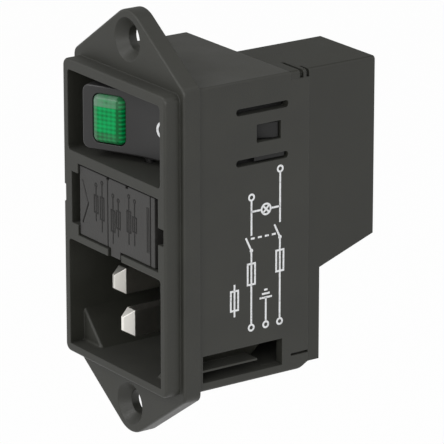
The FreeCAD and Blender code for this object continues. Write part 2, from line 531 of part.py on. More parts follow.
def make_rocker():
    body = new_body("rocker")
    outline = (("-rocker_half_length", "-rocker_end_top"), ("0", "-rocker_crown"),
               ("rocker_half_length", "-rocker_end_top"),
               ("rocker_half_length", "rocker_end_low"), ("rocker_boss_half", "rocker_boss_low"),
               ("-rocker_boss_half", "rocker_boss_low"), ("-rocker_half_length", "rocker_end_low"))
    extrude(body, "rocker_block", "XY", outline, "-rocker_half_width", "rocker_half_width")
    round_edges(body, "rocker_corners", "rocker_corner", lambda edge, middle: runs_along(edge, 1)
                and near(abs(middle.x), "rocker_half_length"))
    round_edges(body, "rocker_fold", "rocker_valley", lambda edge, middle: runs_along(edge, 2)
                and near(middle.x, "0") and near(middle.y, "-rocker_crown"))
    inside = value_of("rocker_half_length - rocker_edge")
    round_edges(body, "rocker_rim", "rocker_edge",
                lambda edge, middle: middle.y < value_of("-rocker_crown / 2") and not runs_along(edge, 1)
                and not (runs_along(edge, 2) and abs(middle.x) < inside))
    skin = "rocker_skin - rocker_crown"
    for side, mark in ((1, "right"), (-1, "left")):
        near_x, far_x = "(rocker_boss_half - rocker_boss_wall)", "(rocker_half_length - rocker_wall)"
        hollow = [(f"{side} * {near_x}", skin), (f"{side} * {far_x}", skin),
                  (f"{side} * {far_x}", "rocker_boss_low"), (f"{side} * {near_x}", "rocker_boss_low")]
        extrude(body, f"{mark}_hollow", "XY", hollow, "rocker_wall - rocker_half_width",
                "rocker_half_width - rocker_wall", cut=True)
    extrude(body, "trunnions", "XY", lambda sketch: draw_circle(sketch, ("0", "0"), "trunnion_radius"),
            "-trunnion_reach", "trunnion_reach")
    for pole, side in POLES:
        extrude(body, f"{pole}_bore", "XZ", lambda sketch: draw_circle(sketch, ("0",
                f"{side} * pole_offset"), "plunger_radius + bore_gap"), "-bore_top", "rocker_boss_low",
                cut=True)
    extrude(body, "lens_seat", "XZ", box_outline("-lens_outer - lens_gap", "-lens_inner + lens_gap",
            "-lens_half_height - lens_gap", "lens_half_height + lens_gap"),
            "-rocker_end_top - lens_rise", "lens_seat - rocker_crown", cut=True)
    round_edges(body, "lens_seat_corners", "lens_corner + lens_gap", lambda edge, middle: runs_along(edge, 1)
                and near(abs(middle.z), "lens_half_height + lens_gap")
                and (near(middle.x, "-lens_outer - lens_gap") or near(middle.x, "lens_gap - lens_inner")))
    extrude(body, "light_window", "XZ", box_outline("light_margin - lens_outer",
            "-lens_inner - light_margin", "light_margin - lens_half_height",
            "lens_half_height - light_margin"), "lens_seat - rocker_crown", skin, cut=True)
    stand_on_pivot(body)
    return body


def make_lens():
    body = new_body("rocker_lens")
    front = "-(rocker_crown + lens_rise + {0} * tan(rocker_dish * 1 deg))"
    outline = (("-lens_outer", front.format("lens_outer")), ("-lens_inner", front.format("lens_inner")),
               ("-lens_inner", "lens_seat - rocker_crown"), ("-lens_outer", "lens_seat - rocker_crown"))
    extrude(body, "lens_block", "XY", outline, "-lens_half_height", "lens_half_height")
    round_edges(body, "lens_corners", "lens_corner", lambda edge, middle: runs_along(edge, 1))
    round_edges(body, "lens_brow", "lens_edge",
                lambda edge, middle: middle.y < value_of("-rocker_crown - lens_edge")
                and not runs_along(edge, 1), kind="Chamfer")
    stand_on_pivot(body)


def make_lamp():
    """Glow lamp and its resistor, lying across the rocker's two hollows, with their leads."""
    for name, x, radius, length in (("neon_lamp", "-lamp_x", "lamp_radius", "lamp_length"),
                                    ("ballast_resistor", "lamp_x", "resistor_radius", "resistor_length")):
        body = new_body(name)
        extrude(body, f"{name}_barrel", "XY", lambda sketch: draw_circle(sketch, (x, "lamp_y"), radius),
                f"-{length} / 2", f"{length} / 2")
        round_edges(body, f"{name}_ends", f"{radius} * end_slope",
                    lambda edge, middle: isinstance(edge.Curve, Part.Circle), kind="Chamfer")
        extrude(body, f"{name}_leads", "XY", lambda sketch: draw_circle(sketch, (x, "lamp_y"),
                "lead_radius"), "rocker_wall - rocker_half_width", "rocker_half_width - rocker_wall")
        stand_on_pivot(body)


# Plungers, springs and contact levers

def make_plunger(pole, side):
    body = new_body(f"{pole}_plunger")
    sketch = new_sketch(body, f"{pole}_plunger_profile", "XY", "0")
    radius, reach, head = value_of("plunger_radius"), value_of("plunger_reach"), value_of("plunger_head")
    shoulder = reach - radius
    vector = FreeCAD.Vector
    sketch.addGeometry(Part.LineSegment(vector(0, head, 0), vector(radius, head, 0)))
    sketch.addGeometry(Part.LineSegment(vector(radius, head, 0), vector(radius, shoulder, 0)))
    ball = Part.Circle(vector(0, shoulder, 0), vector(0, 0, 1), radius)
    sketch.addGeometry(Part.ArcOfCircle(ball, 0, math.pi / 2))
    sketch.addGeometry(Part.LineSegment(vector(0, reach, 0), vector(0, head, 0)))
    for first, first_end, second, second_end in ((0, 2, 1, 1), (1, 2, 2, 1), (2, 2, 3, 1), (3, 2, 0, 1)):
        sketch.addConstraint(Sketcher.Constraint("Coincident", first, first_end, second, second_end))
    pin_point(sketch, 0, 1, ("0", "plunger_head"))
    pin_point(sketch, 1, 1, ("plunger_radius", "plunger_head"))
    pin_point(sketch, 2, 3, ("0", "plunger_reach - plunger_radius"))
    pin_point(sketch, 2, 1, ("plunger_radius", "plunger_reach - plunger_radius"))
    sketch.addConstraint(Sketcher.Constraint("PointOnObject", 2, 2, -2))
    turned = body.newObject("PartDesign::Revolution", f"{pole}_plunger_turned")
    turned.Profile = sketch
    turned.ReferenceAxis = (sketch, ["V_Axis"])
    turned.Angle = 360
    doc.recompute()
    stand_on_pivot(body, f"well_middle + {side} * pole_offset")


def make_spring(pole, side):
    """Helical spring in the rocker's bore, between the bore's end and the plunger's head."""
    body = new_body(f"{pole}_plunger_spring")
    sketch = new_sketch(body, f"{pole}_spring_wire", "XY", "0")
    draw_polygon(sketch, box_outline("spring_radius - spring_wire / 2", "spring_radius + spring_wire / 2",
                 "spring_gap - bore_top", "spring_wire + spring_gap - bore_top"))
    coil = body.newObject("PartDesign::AdditiveHelix", f"{pole}_spring_coil")
    coil.Profile = sketch
    coil.ReferenceAxis = (sketch, ["V_Axis"])
    coil.Mode = "height-turns-angle"
    coil.Angle = 0
    bind(coil, Height="plunger_head + bore_top - spring_wire - 2 * spring_gap", Turns="spring_turns")
    doc.recompute()
    stand_on_pivot(body, f"well_middle + {side} * pole_offset")


def make_lever(pole, side):
    """See-saw contact: a shallow V of strip on a round bead, its contact button behind the right arm."""
    body = new_body(f"{pole}_contact_lever")
    run, rise = "(lever_arm * cos(lever_rise * 1 deg))", "(lever_arm * sin(lever_rise * 1 deg))"
    skin = "(lever_thickness / cos(lever_rise * 1 deg))"
    outline = ((f"-{run}", f"-{rise}"), ("0", "0"), (run, f"-{rise}"), (run, f"-{rise} - {skin}"),
               ("0", f"-{skin}"), (f"-{run}", f"-{rise} - {skin}"))
    extrude(body, f"{pole}_strip", "XY", outline, "-lever_width / 2", "lever_width / 2")
    extrude(body, f"{pole}_bead", "XY", lambda sketch: draw_circle(sketch, ("0", "0"), "bead_radius"),
            "-lever_width / 2", "lever_width / 2")
    along, across = "cos(lever_rise * 1 deg)", "sin(lever_rise * 1 deg)"
    button = []
    for reach, height in (("contact_near", "0"), ("contact_far", "0"), ("contact_far", "contact_height"),
                          ("contact_near", "contact_height")):
        button.append((f"{reach} * {along} + {height} * {across}",
                f"{height} * {along} - {reach} * {across}"))
    extrude(body, f"{pole}_button", "XY", button, "-contact_width / 2", "contact_width / 2")
    turn_about_z(body, "-lever_swing", "0", "lever_y", f"well_middle + {side} * pole_offset")


# Switch base and its terminals

def make_switch_base():
    body = new_body("switch_base")
    extrude(body, "base_block", "XZ", box_outline("-base_half", "base_half", "well_low + base_gap",
            "well_high - base_gap"), "base_front", "roof_length")
    round_edges(body, "base_corners", "bay_round", lambda edge, middle: runs_along(edge, 1))
    for pole, side in POLES:
        low, high = "barrier / 2", "well_half - base_rim"
        first, second = (low, high) if side > 0 else (f"-({high})", f"-{low}")
        extrude(body, f"{pole}_chamber", "XZ", box_outline("chamber_rim - base_half",
                "base_half - chamber_rim", f"well_middle + {first}", f"well_middle + {second}"),
                "base_front", "chamber_end", cut=True)
        for way, x in (("tab", f"-{pole}_tab_x"), ("feed", f"{pole}_feed_x")):
            slot = box_outline(f"{x} - tab_thickness / 2", f"{x} + tab_thickness / 2",
                               f"well_middle + {side} * pole_offset - lever_width / 2",
                               f"well_middle + {side} * pole_offset + lever_width / 2")
            extrude(body, f"{pole}_{way}_slot", "XZ", slot, "chamber_end", "roof_length", cut=True)

    # Lugs that snap into the side windows, and ribs in the lower slots
    for side, mark in ((1, "right"), (-1, "left")):
        foot, tip, rear = "base_half - lug_root", "base_half + lug_rise", "window_rear - rib_gap"
        ramp = ((f"{side} * ({foot})", "window_front + lug_gap"),
                (f"{side} * base_half", "window_front + lug_gap"),
                (f"{side} * ({tip})", f"{rear} - lug_flat"), (f"{side} * ({tip})", rear),
                (f"{side} * ({foot})", rear))
        extrude(body, f"{mark}_lug", "XY", ramp, "window_low + lug_gap", "window_high - lug_gap")
        start, end = (foot, tip) if side > 0 else (f"-({tip})", f"-({foot})")
        extrude(body, f"{mark}_rib", "YZ", box_outline("rib_front", "slot_rear - slot_round",
                "lower_slot_z - slot_height / 2 + rib_gap", "lower_slot_z + slot_height / 2"), start, end)


def make_pivot_terminal(pole, side):
    """Grooved saddle for the see-saw's bead, led sideways and out to the rear as a quick-connect tab."""
    body = new_body(f"{pole}_pivot_terminal")
    x, half = f"(-{pole}_tab_x)", "tab_thickness / 2"
    strip = ((f"-{half}", "lever_y + saddle_gap"), (half, "lever_y + saddle_gap"),
             (half, "jog_y + tab_thickness"), (f"{x} + {half}", "jog_y + tab_thickness"),
             (f"{x} + {half}", "roof_length"), (f"{x} - {half}", "roof_length"), (f"{x} - {half}", "jog_y"),
             (f"-{half}", "jog_y"))
    middle = f"well_middle + {side} * pole_offset"
    extrude(body, f"{pole}_saddle", "XY", strip, f"{middle} - lever_width / 2",
            f"{middle} + lever_width / 2")
    extrude(body, f"{pole}_saddle_groove", "XY", lambda sketch: draw_circle(sketch, ("0", "lever_y"),
            "bead_radius + saddle_gap"), f"{middle} - lever_width / 2", f"{middle} + lever_width / 2",
            cut=True)
    extrude(body, f"{pole}_tab", "YZ", tab_outline("roof_length", "roof_length", f"({middle})"),
            f"{x} - {half}", f"{x} + {half}")
    hole = ("roof_length + tab_length - tab_hole_setback", middle)
    extrude(body, f"{pole}_tab_hole", "YZ", lambda sketch: draw_circle(sketch, hole, "tab_hole"),
            f"{x} - {half}", f"{x} + {half}", cut=True)


def make_fixed_contact(pole, side):
    """Contact button on a strip that leads back to the bus bar."""
    body = new_body(f"{pole}_fixed_contact")
    x, half, bus = f"{pole}_feed_x", "tab_thickness / 2", f"{pole}_bus_y"
    face, back = "fixed_contact_y + contact_height", "fixed_contact_y + contact_height + tab_thickness"
    middle_x = "(contact_near + contact_far) / 2"
    inner, outer = "contact_near - contact_border", "contact_far + contact_border"
    if side > 0:
        strip = ((inner, face), (f"{x} + {half}", face), (f"{x} + {half}", bus), (f"{x} - {half}", bus),
                 (f"{x} - {half}", back), (inner, back))
    else:
        strip = ((f"{x} - {half}", face), (outer, face), (outer, back), (f"{x} + {half}", back),
                 (f"{x} + {half}", bus), (f"{x} - {half}", bus))
    middle = f"well_middle + {side} * pole_offset"
    extrude(body, f"{pole}_feed", "XY", strip, f"{middle} - lever_width / 2", f"{middle} + lever_width / 2")
    extrude(body, f"{pole}_anvil", "XZ", lambda sketch: draw_circle(sketch, (middle_x, middle),
            "contact_width / 2"), "fixed_contact_y", face)


# Fuse links, their contacts and the bus bars

def make_fuse(pole, side):
    x, front = f"{side} * fuse_x", "-fuse_front"
    outer = cylinder(f"{pole}_glass_outer", "glass_radius", "fuse_length - 2 * cap_wall")
    inner = cylinder(f"{pole}_glass_inner", "glass_radius - glass_wall", "fuse_length - 2 * cap_wall")
    tube = subtract(f"{pole}_fuse_tube", outer, inner)
    lay_along_y(tube, x, f"{front} + cap_wall", "fuse_z")
    caps = []
    for end in ("front", "rear"):
        shell = cylinder(f"{pole}_{end}_cap_outer", "cap_radius", "cap_length")
        bore = cylinder(f"{pole}_{end}_cap_bore", "glass_radius", "cap_length - cap_wall")
        bind(shell, Placement__Base__z="0" if end == "front" else "fuse_length - cap_length")
        bind(bore, Placement__Base__z="cap_wall" if end == "front" else "fuse_length - cap_length")
        caps.append(subtract(f"{pole}_{end}_cap", shell, bore))
    pair = doc.addObject("Part::Compound", f"{pole}_fuse_caps")
    pair.Links = caps
    lay_along_y(pair, x, front, "fuse_z")
    wire = cylinder(f"{pole}_fuse_wire", "wire_radius", "fuse_length - 2 * cap_wall")
    lay_along_y(wire, x, f"{front} + cap_wall", "fuse_z")
    for item in (tube, pair, wire):
        item.Label = item.Name


def cylinder(name, radius, height):
    item = doc.addObject("Part::Cylinder", name)
    bind(item, Radius=radius, Height=height)
    return item


def subtract(name, base, tool):
    item = doc.addObject("Part::Cut", name)
    item.Base = base
    item.Tool = tool
    return item


def lay_along_y(item, x, y, z):
    """Lays a piece drawn along its own Z axis down along +Y."""
    item.Placement.Rotation = FreeCAD.Rotation(FreeCAD.Vector(1, 0, 0), -90)
    bind(item, Placement__Base__x=x, Placement__Base__y=y, Placement__Base__z=z)


def make_fuse_contact(pole, side, end):
    """Leaf spring over a fuse cap, on a strip along the roof of the fuse bay, turned at its rear end."""
    body = new_body(f"{pole}_{end}_contact")
    shift = "strip_shift" if end == "front" else "-strip_shift"
    middle = f"{side} * (fuse_x + {shift})"
    tail = "line_bus_y" if end == "front" else f"{pole}_bus_y"
    heel = f"{end}_leaf_y"
    touch = "(fuse_z + cap_radius + leaf_gap)"
    top, under = "bay_high", "bay_high - strip_thickness"
    knee, toe = f"{heel} - leaf_length + leaf_lip", f"{heel} - leaf_length"
    profile = ((tail, top), (f"{heel} - leaf_bend", top), (knee, f"{touch} + strip_thickness"),
               (toe, f"{touch} + strip_thickness + leaf_lift"), (toe, f"{touch} + leaf_lift"), (knee, touch),
               (heel, under), (tail, under))
    extrude(body, f"{pole}_{end}_leaf", "YZ", profile, f"{middle} - strip_width / 2",
            f"{middle} + strip_width / 2")
    if end == "front":
        low = "inlet_middle + pin_offset - pin_height / 2"
        riser = box_outline(f"{middle} - strip_width / 2", f"{middle} + strip_width / 2", low, top)
        extrude(body, f"{pole}_riser", "XZ", riser, "line_bus_y", "line_bus_y + bus_thickness")


def make_bus_bar(pole, side):
    """Flat plate that joins the rear fuse contact to the fixed contact of the same pole."""
    body = new_body(f"{pole}_bus_bar")
    contact = f"{side} * (fuse_x - strip_shift)"
    left, inner = f"{contact} - strip_width / 2", f"{contact} + strip_width / 2"
    right, stem = f"{pole}_feed_x + riser_width / 2", f"{pole}_feed_x - riser_width / 2"
    top = f"well_middle + {side} * pole_offset + lever_width / 2"
    strip = "bay_high - strip_thickness"
    if side > 0:
        low, high = "bay_high + bus_gap", "bay_high + bus_gap + bus_width"
        outline = ((left, strip), (inner, strip), (inner, low), (right, low), (right, top), (stem, top),
                   (stem, high), (left, high))
    else:
        low, high = "cover_ledge - bus_width", "cover_ledge"
        outline = ((left, low), (right, low), (right, top), (stem, top), (stem, high), (inner, high),
                   (inner, "bay_high"), (left, "bay_high"))
    extrude(body, f"{pole}_plate", "XZ", outline, f"{pole}_bus_y", f"{pole}_bus_y + bus_thickness")


# Fuse drawer

def make_drawer():
    body = new_body("fuse_drawer")
    face, back = "drawer_face", "drawer_back"
    left, right = "(drawer_gap - bay_left)", "(drawer_right + latch_slot + latch_arm)"
    low, high = "(drawer_gap - bay_low)", "(bay_high - drawer_gap)"
    extrude(body, "front_plate", "XZ", box_outline(left, right, low, high), face, back)
    extrude(body, "tongue", "XZ", box_outline("-tongue_left", "tongue_right", f"{low} - tongue_drop", low),
            face, back)
    extrude(body, "carrier", "XZ", box_outline(left, "drawer_right - carrier_inset", low, high), back,
            "drawer_end")
    for side, mark in ((1, "right"), (-1, "left")):
        radius = "(cap_radius + trough_gap)"
        middle = f"{side} * fuse_x"
        extrude(body, f"{mark}_bore", "XZ", lambda sketch: draw_circle(sketch, (middle, "fuse_z"), radius),
                back, "drawer_end - lip_depth", cut=True)
        extrude(body, f"{mark}_way", "XZ", box_outline(f"{middle} - {radius}", f"{middle} + {radius}",
                "fuse_z", high), back, "drawer_end", cut=True)
    end = f"{face} + latch_length"
    extrude(body, "latch_blade", "XZ", box_outline("drawer_right + latch_slot", right, "latch_low",
            "latch_high"), back, end)
    extrude(body, "latch_root", "XZ", box_outline("drawer_right - carrier_inset", right, "latch_low",
            "latch_high"), f"{end} - latch_root", end)
    extrude(body, "latch_bump_pad", "XZ", box_outline(right, f"{right} + latch_bump", "notch_z - latch_half",
            "notch_z + latch_half"), f"{back} + bump_setback", f"{back} + bump_setback + bump_length")
    extrude(body, "latch_split", "XZ", box_outline("drawer_right", "drawer_right + latch_slot", low, high),
            face, back, cut=True)

    # Relief on the face: arrow, middle rule and grip bars
    foot, peak = "finger_slot_z - arrow_half", "finger_slot_z + arrow_half"
    arrow = (("-arrow_near", foot), ("arrow_stroke - arrow_near", foot),
             ("arrow_stroke - arrow_tip", "finger_slot_z"), ("arrow_stroke - arrow_near", peak),
             ("-arrow_near", peak), ("-arrow_tip", "finger_slot_z"))
    extrude(body, "arrow", "XZ", arrow, face, f"{face} + relief", cut=True)
    extrude(body, "rule", "XZ", box_outline("-rule_x - rule_width", "-rule_x", low, high), face,
            f"{face} + relief", cut=True)
    for count in (0, 1):
        start = f"grip_x + {count} * grip_pitch"
        bar = box_outline(start, f"{start} + grip_width", "-grip_low", "grip_high")
        extrude(body, f"grip_bar_{count}", "XZ", bar, face, f"{face} + relief", cut=True)
    for x, mark in (("-rule_x - rule_width / 2", "left"), ("top_nick_x", "right")):
        extrude(body, f"{mark}_top_nick", "XZ", box_outline(f"{x} - top_nick_width / 2",
                f"{x} + top_nick_width / 2", f"{high} - top_nick_height", high), face, back, cut=True)


make_housing()
make_rear_cover()
make_pins()
make_rocker()
make_lens()
make_lamp()
make_switch_base()
for pole, side in POLES:
    make_plunger(pole, side)
    make_spring(pole, side)
    make_lever(pole, side)
    make_pivot_terminal(pole, side)
    make_fixed_contact(pole, side)
    make_fuse(pole, side)
    make_fuse_contact(pole, side, "front")
    make_fuse_contact(pole, side, "rear")
    make_bus_bar(pole, side)
make_drawer()
doc.recompute()

# Every object is sound, and every sub-part is one or more closed solids

for item in doc.Objects:
    if "Invalid" in item.State or "Error" in item.State:
        raise RuntimeError(f"{item.Name} failed: {item.State}")

FUSE_PIECES = [f"{pole}_fuse_{piece}" for pole, side in POLES for piece in ("tube", "caps", "wire")]
sub_parts = [item for item in doc.Objects if item.TypeId == "PartDesign::Body" or item.Label in FUSE_PIECES]
os.makedirs("parts", exist_ok=True)
for item in sub_parts:
    if item.Shape.isNull() or not item.Shape.isValid() or not item.Shape.Solids:
        raise RuntimeError(f"{item.Label} is not a valid solid")
for item in sub_parts:
    item.Shape.exportStep(f"parts/{item.Label}.step")
    print(item.Label, len(item.Shape.Solids), round(item.Shape.Volume, 2))
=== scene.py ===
"""Looks of a panel-mounted power entry module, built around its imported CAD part."""

import logging
import math
from collections.abc import Mapping, Sequence
from dataclasses import dataclass, field
from enum import Enum

import bmesh
import bpy
from mathutils import Matrix, Vector


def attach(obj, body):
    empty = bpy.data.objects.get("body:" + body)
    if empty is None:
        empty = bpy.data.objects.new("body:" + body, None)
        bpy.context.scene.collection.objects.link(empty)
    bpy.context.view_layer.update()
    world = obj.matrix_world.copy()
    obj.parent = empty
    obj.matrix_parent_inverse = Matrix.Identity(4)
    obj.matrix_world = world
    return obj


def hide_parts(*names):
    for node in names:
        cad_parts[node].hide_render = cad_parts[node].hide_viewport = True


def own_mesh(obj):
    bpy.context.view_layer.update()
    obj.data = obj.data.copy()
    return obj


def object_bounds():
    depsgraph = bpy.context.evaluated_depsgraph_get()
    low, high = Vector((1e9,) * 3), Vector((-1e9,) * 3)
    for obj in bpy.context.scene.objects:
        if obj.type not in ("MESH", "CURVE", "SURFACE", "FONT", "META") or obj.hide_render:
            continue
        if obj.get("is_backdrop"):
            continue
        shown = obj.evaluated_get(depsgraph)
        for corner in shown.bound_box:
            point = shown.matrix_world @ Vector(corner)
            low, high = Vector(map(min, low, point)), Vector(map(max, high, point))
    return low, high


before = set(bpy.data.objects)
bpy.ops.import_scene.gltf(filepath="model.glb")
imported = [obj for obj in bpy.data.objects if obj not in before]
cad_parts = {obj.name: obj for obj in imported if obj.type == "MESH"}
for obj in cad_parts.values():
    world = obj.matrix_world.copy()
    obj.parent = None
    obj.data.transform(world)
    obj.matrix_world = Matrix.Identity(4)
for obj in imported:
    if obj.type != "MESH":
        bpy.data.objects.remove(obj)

LOG = logging.getLogger("power_entry_module")
MM = 0.001
Colour = tuple[float, float, float, float]

# How squarely a face looks along an axis before its finish counts as facing that way
FACING = (0.6, 0.95)
# Thickness of a printed film, and of the drawer's film of painted sign shade, in millimetres
FILM = 0.02


class Body(Enum):
    """The moving bodies of the frame that new pieces ride on."""

    CASE = "case"
    ROCKER = "rocker_body"
    DRAWER = "drawer_body"


class Slot(Enum):
    """The record's material slots; each new piece is given one."""

    LENS = "lens_plastic"
    DRAWER = "drawer_plastic"
    LIGHT = "plunger_plastic"
    SPRING = "spring_steel"


# Material graphs


class Signal:
    """What flows out of one node socket. Arithmetic on it adds Math nodes to the same sheet."""

    def __init__(self, sheet: "NodeSheet", socket: bpy.types.NodeSocket) -> None:
        """Wraps a socket.

        Args:
            sheet: The graph that the socket belongs to.
            socket: An output socket.
        """
        self.sheet = sheet
        self.socket = socket

    def _reckon(self, operation: str, first: "Signal | float", *others: "Signal | float") -> "Signal":
        """Adds one Math node and returns its output."""
        terms = dict(enumerate((first, *others)))
        return self.sheet.node("ShaderNodeMath", {"operation": operation}, terms)

    def __add__(self, other: "Signal | float") -> "Signal":
        """Returns the sum."""
        return self._reckon("ADD", self, other)

    def __radd__(self, other: float) -> "Signal":
        """Returns the sum."""
        return self._reckon("ADD", other, self)

    def __sub__(self, other: "Signal | float") -> "Signal":
        """Returns the difference."""
        return self._reckon("SUBTRACT", self, other)

    def __rsub__(self, other: float) -> "Signal":
        """Returns the difference, the other way round."""
        return self._reckon("SUBTRACT", other, self)

    def __mul__(self, other: "Signal | float") -> "Signal":
        """Returns the product."""
        return self._reckon("MULTIPLY", self, other)

    def __rmul__(self, other: float) -> "Signal":
        """Returns the product."""
        return self._reckon("MULTIPLY", other, self)

    def __truediv__(self, other: "Signal | float") -> "Signal":
        """Returns the quotient."""
        return self._reckon("DIVIDE", self, other)

    def __rtruediv__(self, other: float) -> "Signal":
        """Returns the quotient, the other way round."""
        return self._reckon("DIVIDE", other, self)

    def __pow__(self, other: "Signal | float") -> "Signal":
        """Returns the power."""
        return self._reckon("POWER", self, other)

    def wave(self, pitch: float) -> "Signal":
        """Returns a triangle wave of this signal.

        Args:
            pitch: Distance from one low point to the next.

        Returns:
            A signal that runs from 0 up to 1 and back over each pitch.
        """
        return self._reckon("PINGPONG", self, pitch / 2) / (pitch / 2)

    def between(self, low: float, high: float) -> "Signal":
        """Returns 0 below low, 1 above high and a smooth step from one to the other.

        Args:
            low: Where the step starts.
            high: Where the step ends. It may be the smaller number, for a step down.

        Returns:
            The stepped signal.
        """
        ends = {"Value": self, "From Min": low, "From Max": high, "To Min": 0.0, "To Max": 1.0}
        return self.sheet.node("ShaderNodeMapRange", {"interpolation_type": "SMOOTHSTEP"}, ends)


class NodeSheet:
    """The node graph of one material, ending in one shader.

    The Mix node has several sockets of each name, so its colour sockets go by number.
    """

    MIX_FACTOR = 0
    MIX_LOW = 6
    MIX_HIGH = 7
    MIX_COLOUR = 2
    BEVEL_SAMPLES = 8

    def __init__(self, name: str) -> None:
        """Starts an empty material.

        Args:
            name: The material's name.
        """
        self.material = bpy.data.materials.new(name)
        self.material.use_nodes = True
        self.tree = self.material.node_tree
        self.tree.nodes.clear()

    def node(
        self,
        kind: str,
        settings: Mapping[str, object] | None = None,
        inputs: Mapping[str | int, object] | None = None,
        output: str | int = 0,
    ) -> Signal:
        """Adds one node.

        Args:
            kind: The node's type.
            settings: The node's own properties, which are set first.
            inputs: A signal or a plain value for each input socket, by name or number.
            output: The output socket to return, by name or number.

        Returns:
            The chosen output.
        """
        made = self.tree.nodes.new(kind)
        for name, value in (settings or {}).items():
            setattr(made, name, value)
        for name, value in (inputs or {}).items():
            if isinstance(value, Signal):
                self.tree.links.new(value.socket, made.inputs[name])
            else:
                made.inputs[name].default_value = value
        return Signal(self, made.outputs[output])

    def place(self, turn: float = 0.0, origin: Vector | None = None) -> Signal:
        """Returns the piece's own coordinates, in metres.

        Args:
            turn: Angle in degrees by which the pattern's axes are turned about +Z.
            origin: The point that the pattern is measured from.

        Returns:
            The coordinates as a vector signal.
        """
        spot = self.node("ShaderNodeTexCoord", output="Object")
        if not turn and origin is None:
            return spot
        back = Matrix.Rotation(math.radians(-turn), 3, "Z")
        shift = -(back @ (origin or Vector()))
        angles = (0.0, 0.0, math.radians(-turn))
        return self.node("ShaderNodeMapping", {"vector_type": "POINT"},
                         {"Vector": spot, "Location": shift, "Rotation": angles})

    def parts(self, vector: Signal) -> tuple[Signal, Signal, Signal]:
        """Returns the three parts of a vector signal."""
        sockets = self.node("ShaderNodeSeparateXYZ", inputs={"Vector": vector}).socket.node.outputs
        return Signal(self, sockets["X"]), Signal(self, sockets["Y"]), Signal(self, sockets["Z"])

    def normal(self) -> tuple[Signal, Signal]:
        """Returns how squarely a face looks along -Y and along +Z."""
        _, back, upward = self.parts(self.node("ShaderNodeTexCoord", output="Normal"))
        return back * -1.0, upward

    def noise(
        self,
        spot: Signal,
        size: float,
        detail: float = 2.0,
        stretch: Sequence[float] = (1, 1, 1),
    ) -> Signal:
        """Returns soft random spots.

        Args:
            spot: The coordinates.
            size: Size of a spot, in millimetres.
            detail: How many finer layers lie over it.
            stretch: How much longer the spots are along each axis.

        Returns:
            A signal around one half.
        """
        if tuple(stretch) != (1, 1, 1):
            squeeze = {"Vector": spot, "Scale": tuple(1 / part for part in stretch)}
            spot = self.node("ShaderNodeMapping", {"vector_type": "POINT"}, squeeze)
        inputs = {"Vector": spot, "Scale": 1 / (size * MM), "Detail": detail}
        return self.node("ShaderNodeTexNoise", inputs=inputs)

    def blend(self, share: Signal, low: Colour, high: Colour) -> Signal:
        """Mixes two colours.

        Args:
            share: 0 for the first colour, 1 for the second. What lies outside is clamped.
            low: The first colour.
            high: The second colour.

        Returns:
            The mixed colour.
        """
        inputs = {self.MIX_FACTOR: share, self.MIX_LOW: low, self.MIX_HIGH: high}
        settings = {"data_type": "RGBA", "clamp_factor": True}
        return self.node("ShaderNodeMix", settings, inputs, self.MIX_COLOUR)

    def edge(self, radius: float) -> tuple[Signal, Signal]:
        """Returns a softened normal and how near a surface point is to a sharp edge.

        Args:
            radius: Radius of the softened edge, in millimetres.

        Returns:
            The normal, and a signal that is 0 on flat faces and rises at an edge.
        """
        soft = self.node("ShaderNodeBevel", {"samples": self.BEVEL_SAMPLES}, {"Radius": radius * MM})
        flat = self.node("ShaderNodeNewGeometry", output="Normal")
        operation = {"operation": "DOT_PRODUCT"}
        same = self.node("ShaderNodeVectorMath", operation, {0: soft, 1: flat}, "Value")
        return soft, 1.0 - same

    def bump(
        self,
        height: Signal,
        depth: float,
        normal: Signal | None = None,
        strength: float = 1.0,
    ) -> Signal:
        """Returns a normal that follows a height.

        Args:
            height: The height, as a share of the depth.
            depth: What a height of 1 stands for, in millimetres.
            normal: The normal that is bent, or nothing for the surface's own.
            strength: How strongly the height shows.

        Returns:
            The bent normal.
        """
        inputs = {"Strength": strength, "Distance": depth * MM, "Height": height}
        if normal is not None:
            inputs["Normal"] = normal
        return self.node("ShaderNodeBump", inputs=inputs)

    def finish(self, sockets: Mapping[str, object]) -> bpy.types.Material:
        """Ends the graph in a Principled shader.

        Args:
            sockets: A signal or a plain value for each of the shader's sockets that is set.

        Returns:
            The finished material.
        """
        shader = self.node("ShaderNodeBsdfPrincipled", inputs=sockets)
        self.node_output(shader)
        return self.material

    def node_output(self, shader: Signal) -> None:
        """Joins a shader to the material's output."""
        ending = self.tree.nodes.new("ShaderNodeOutputMaterial")
        self.tree.links.new(shader.socket, ending.inputs["Surface"])


# Finishes


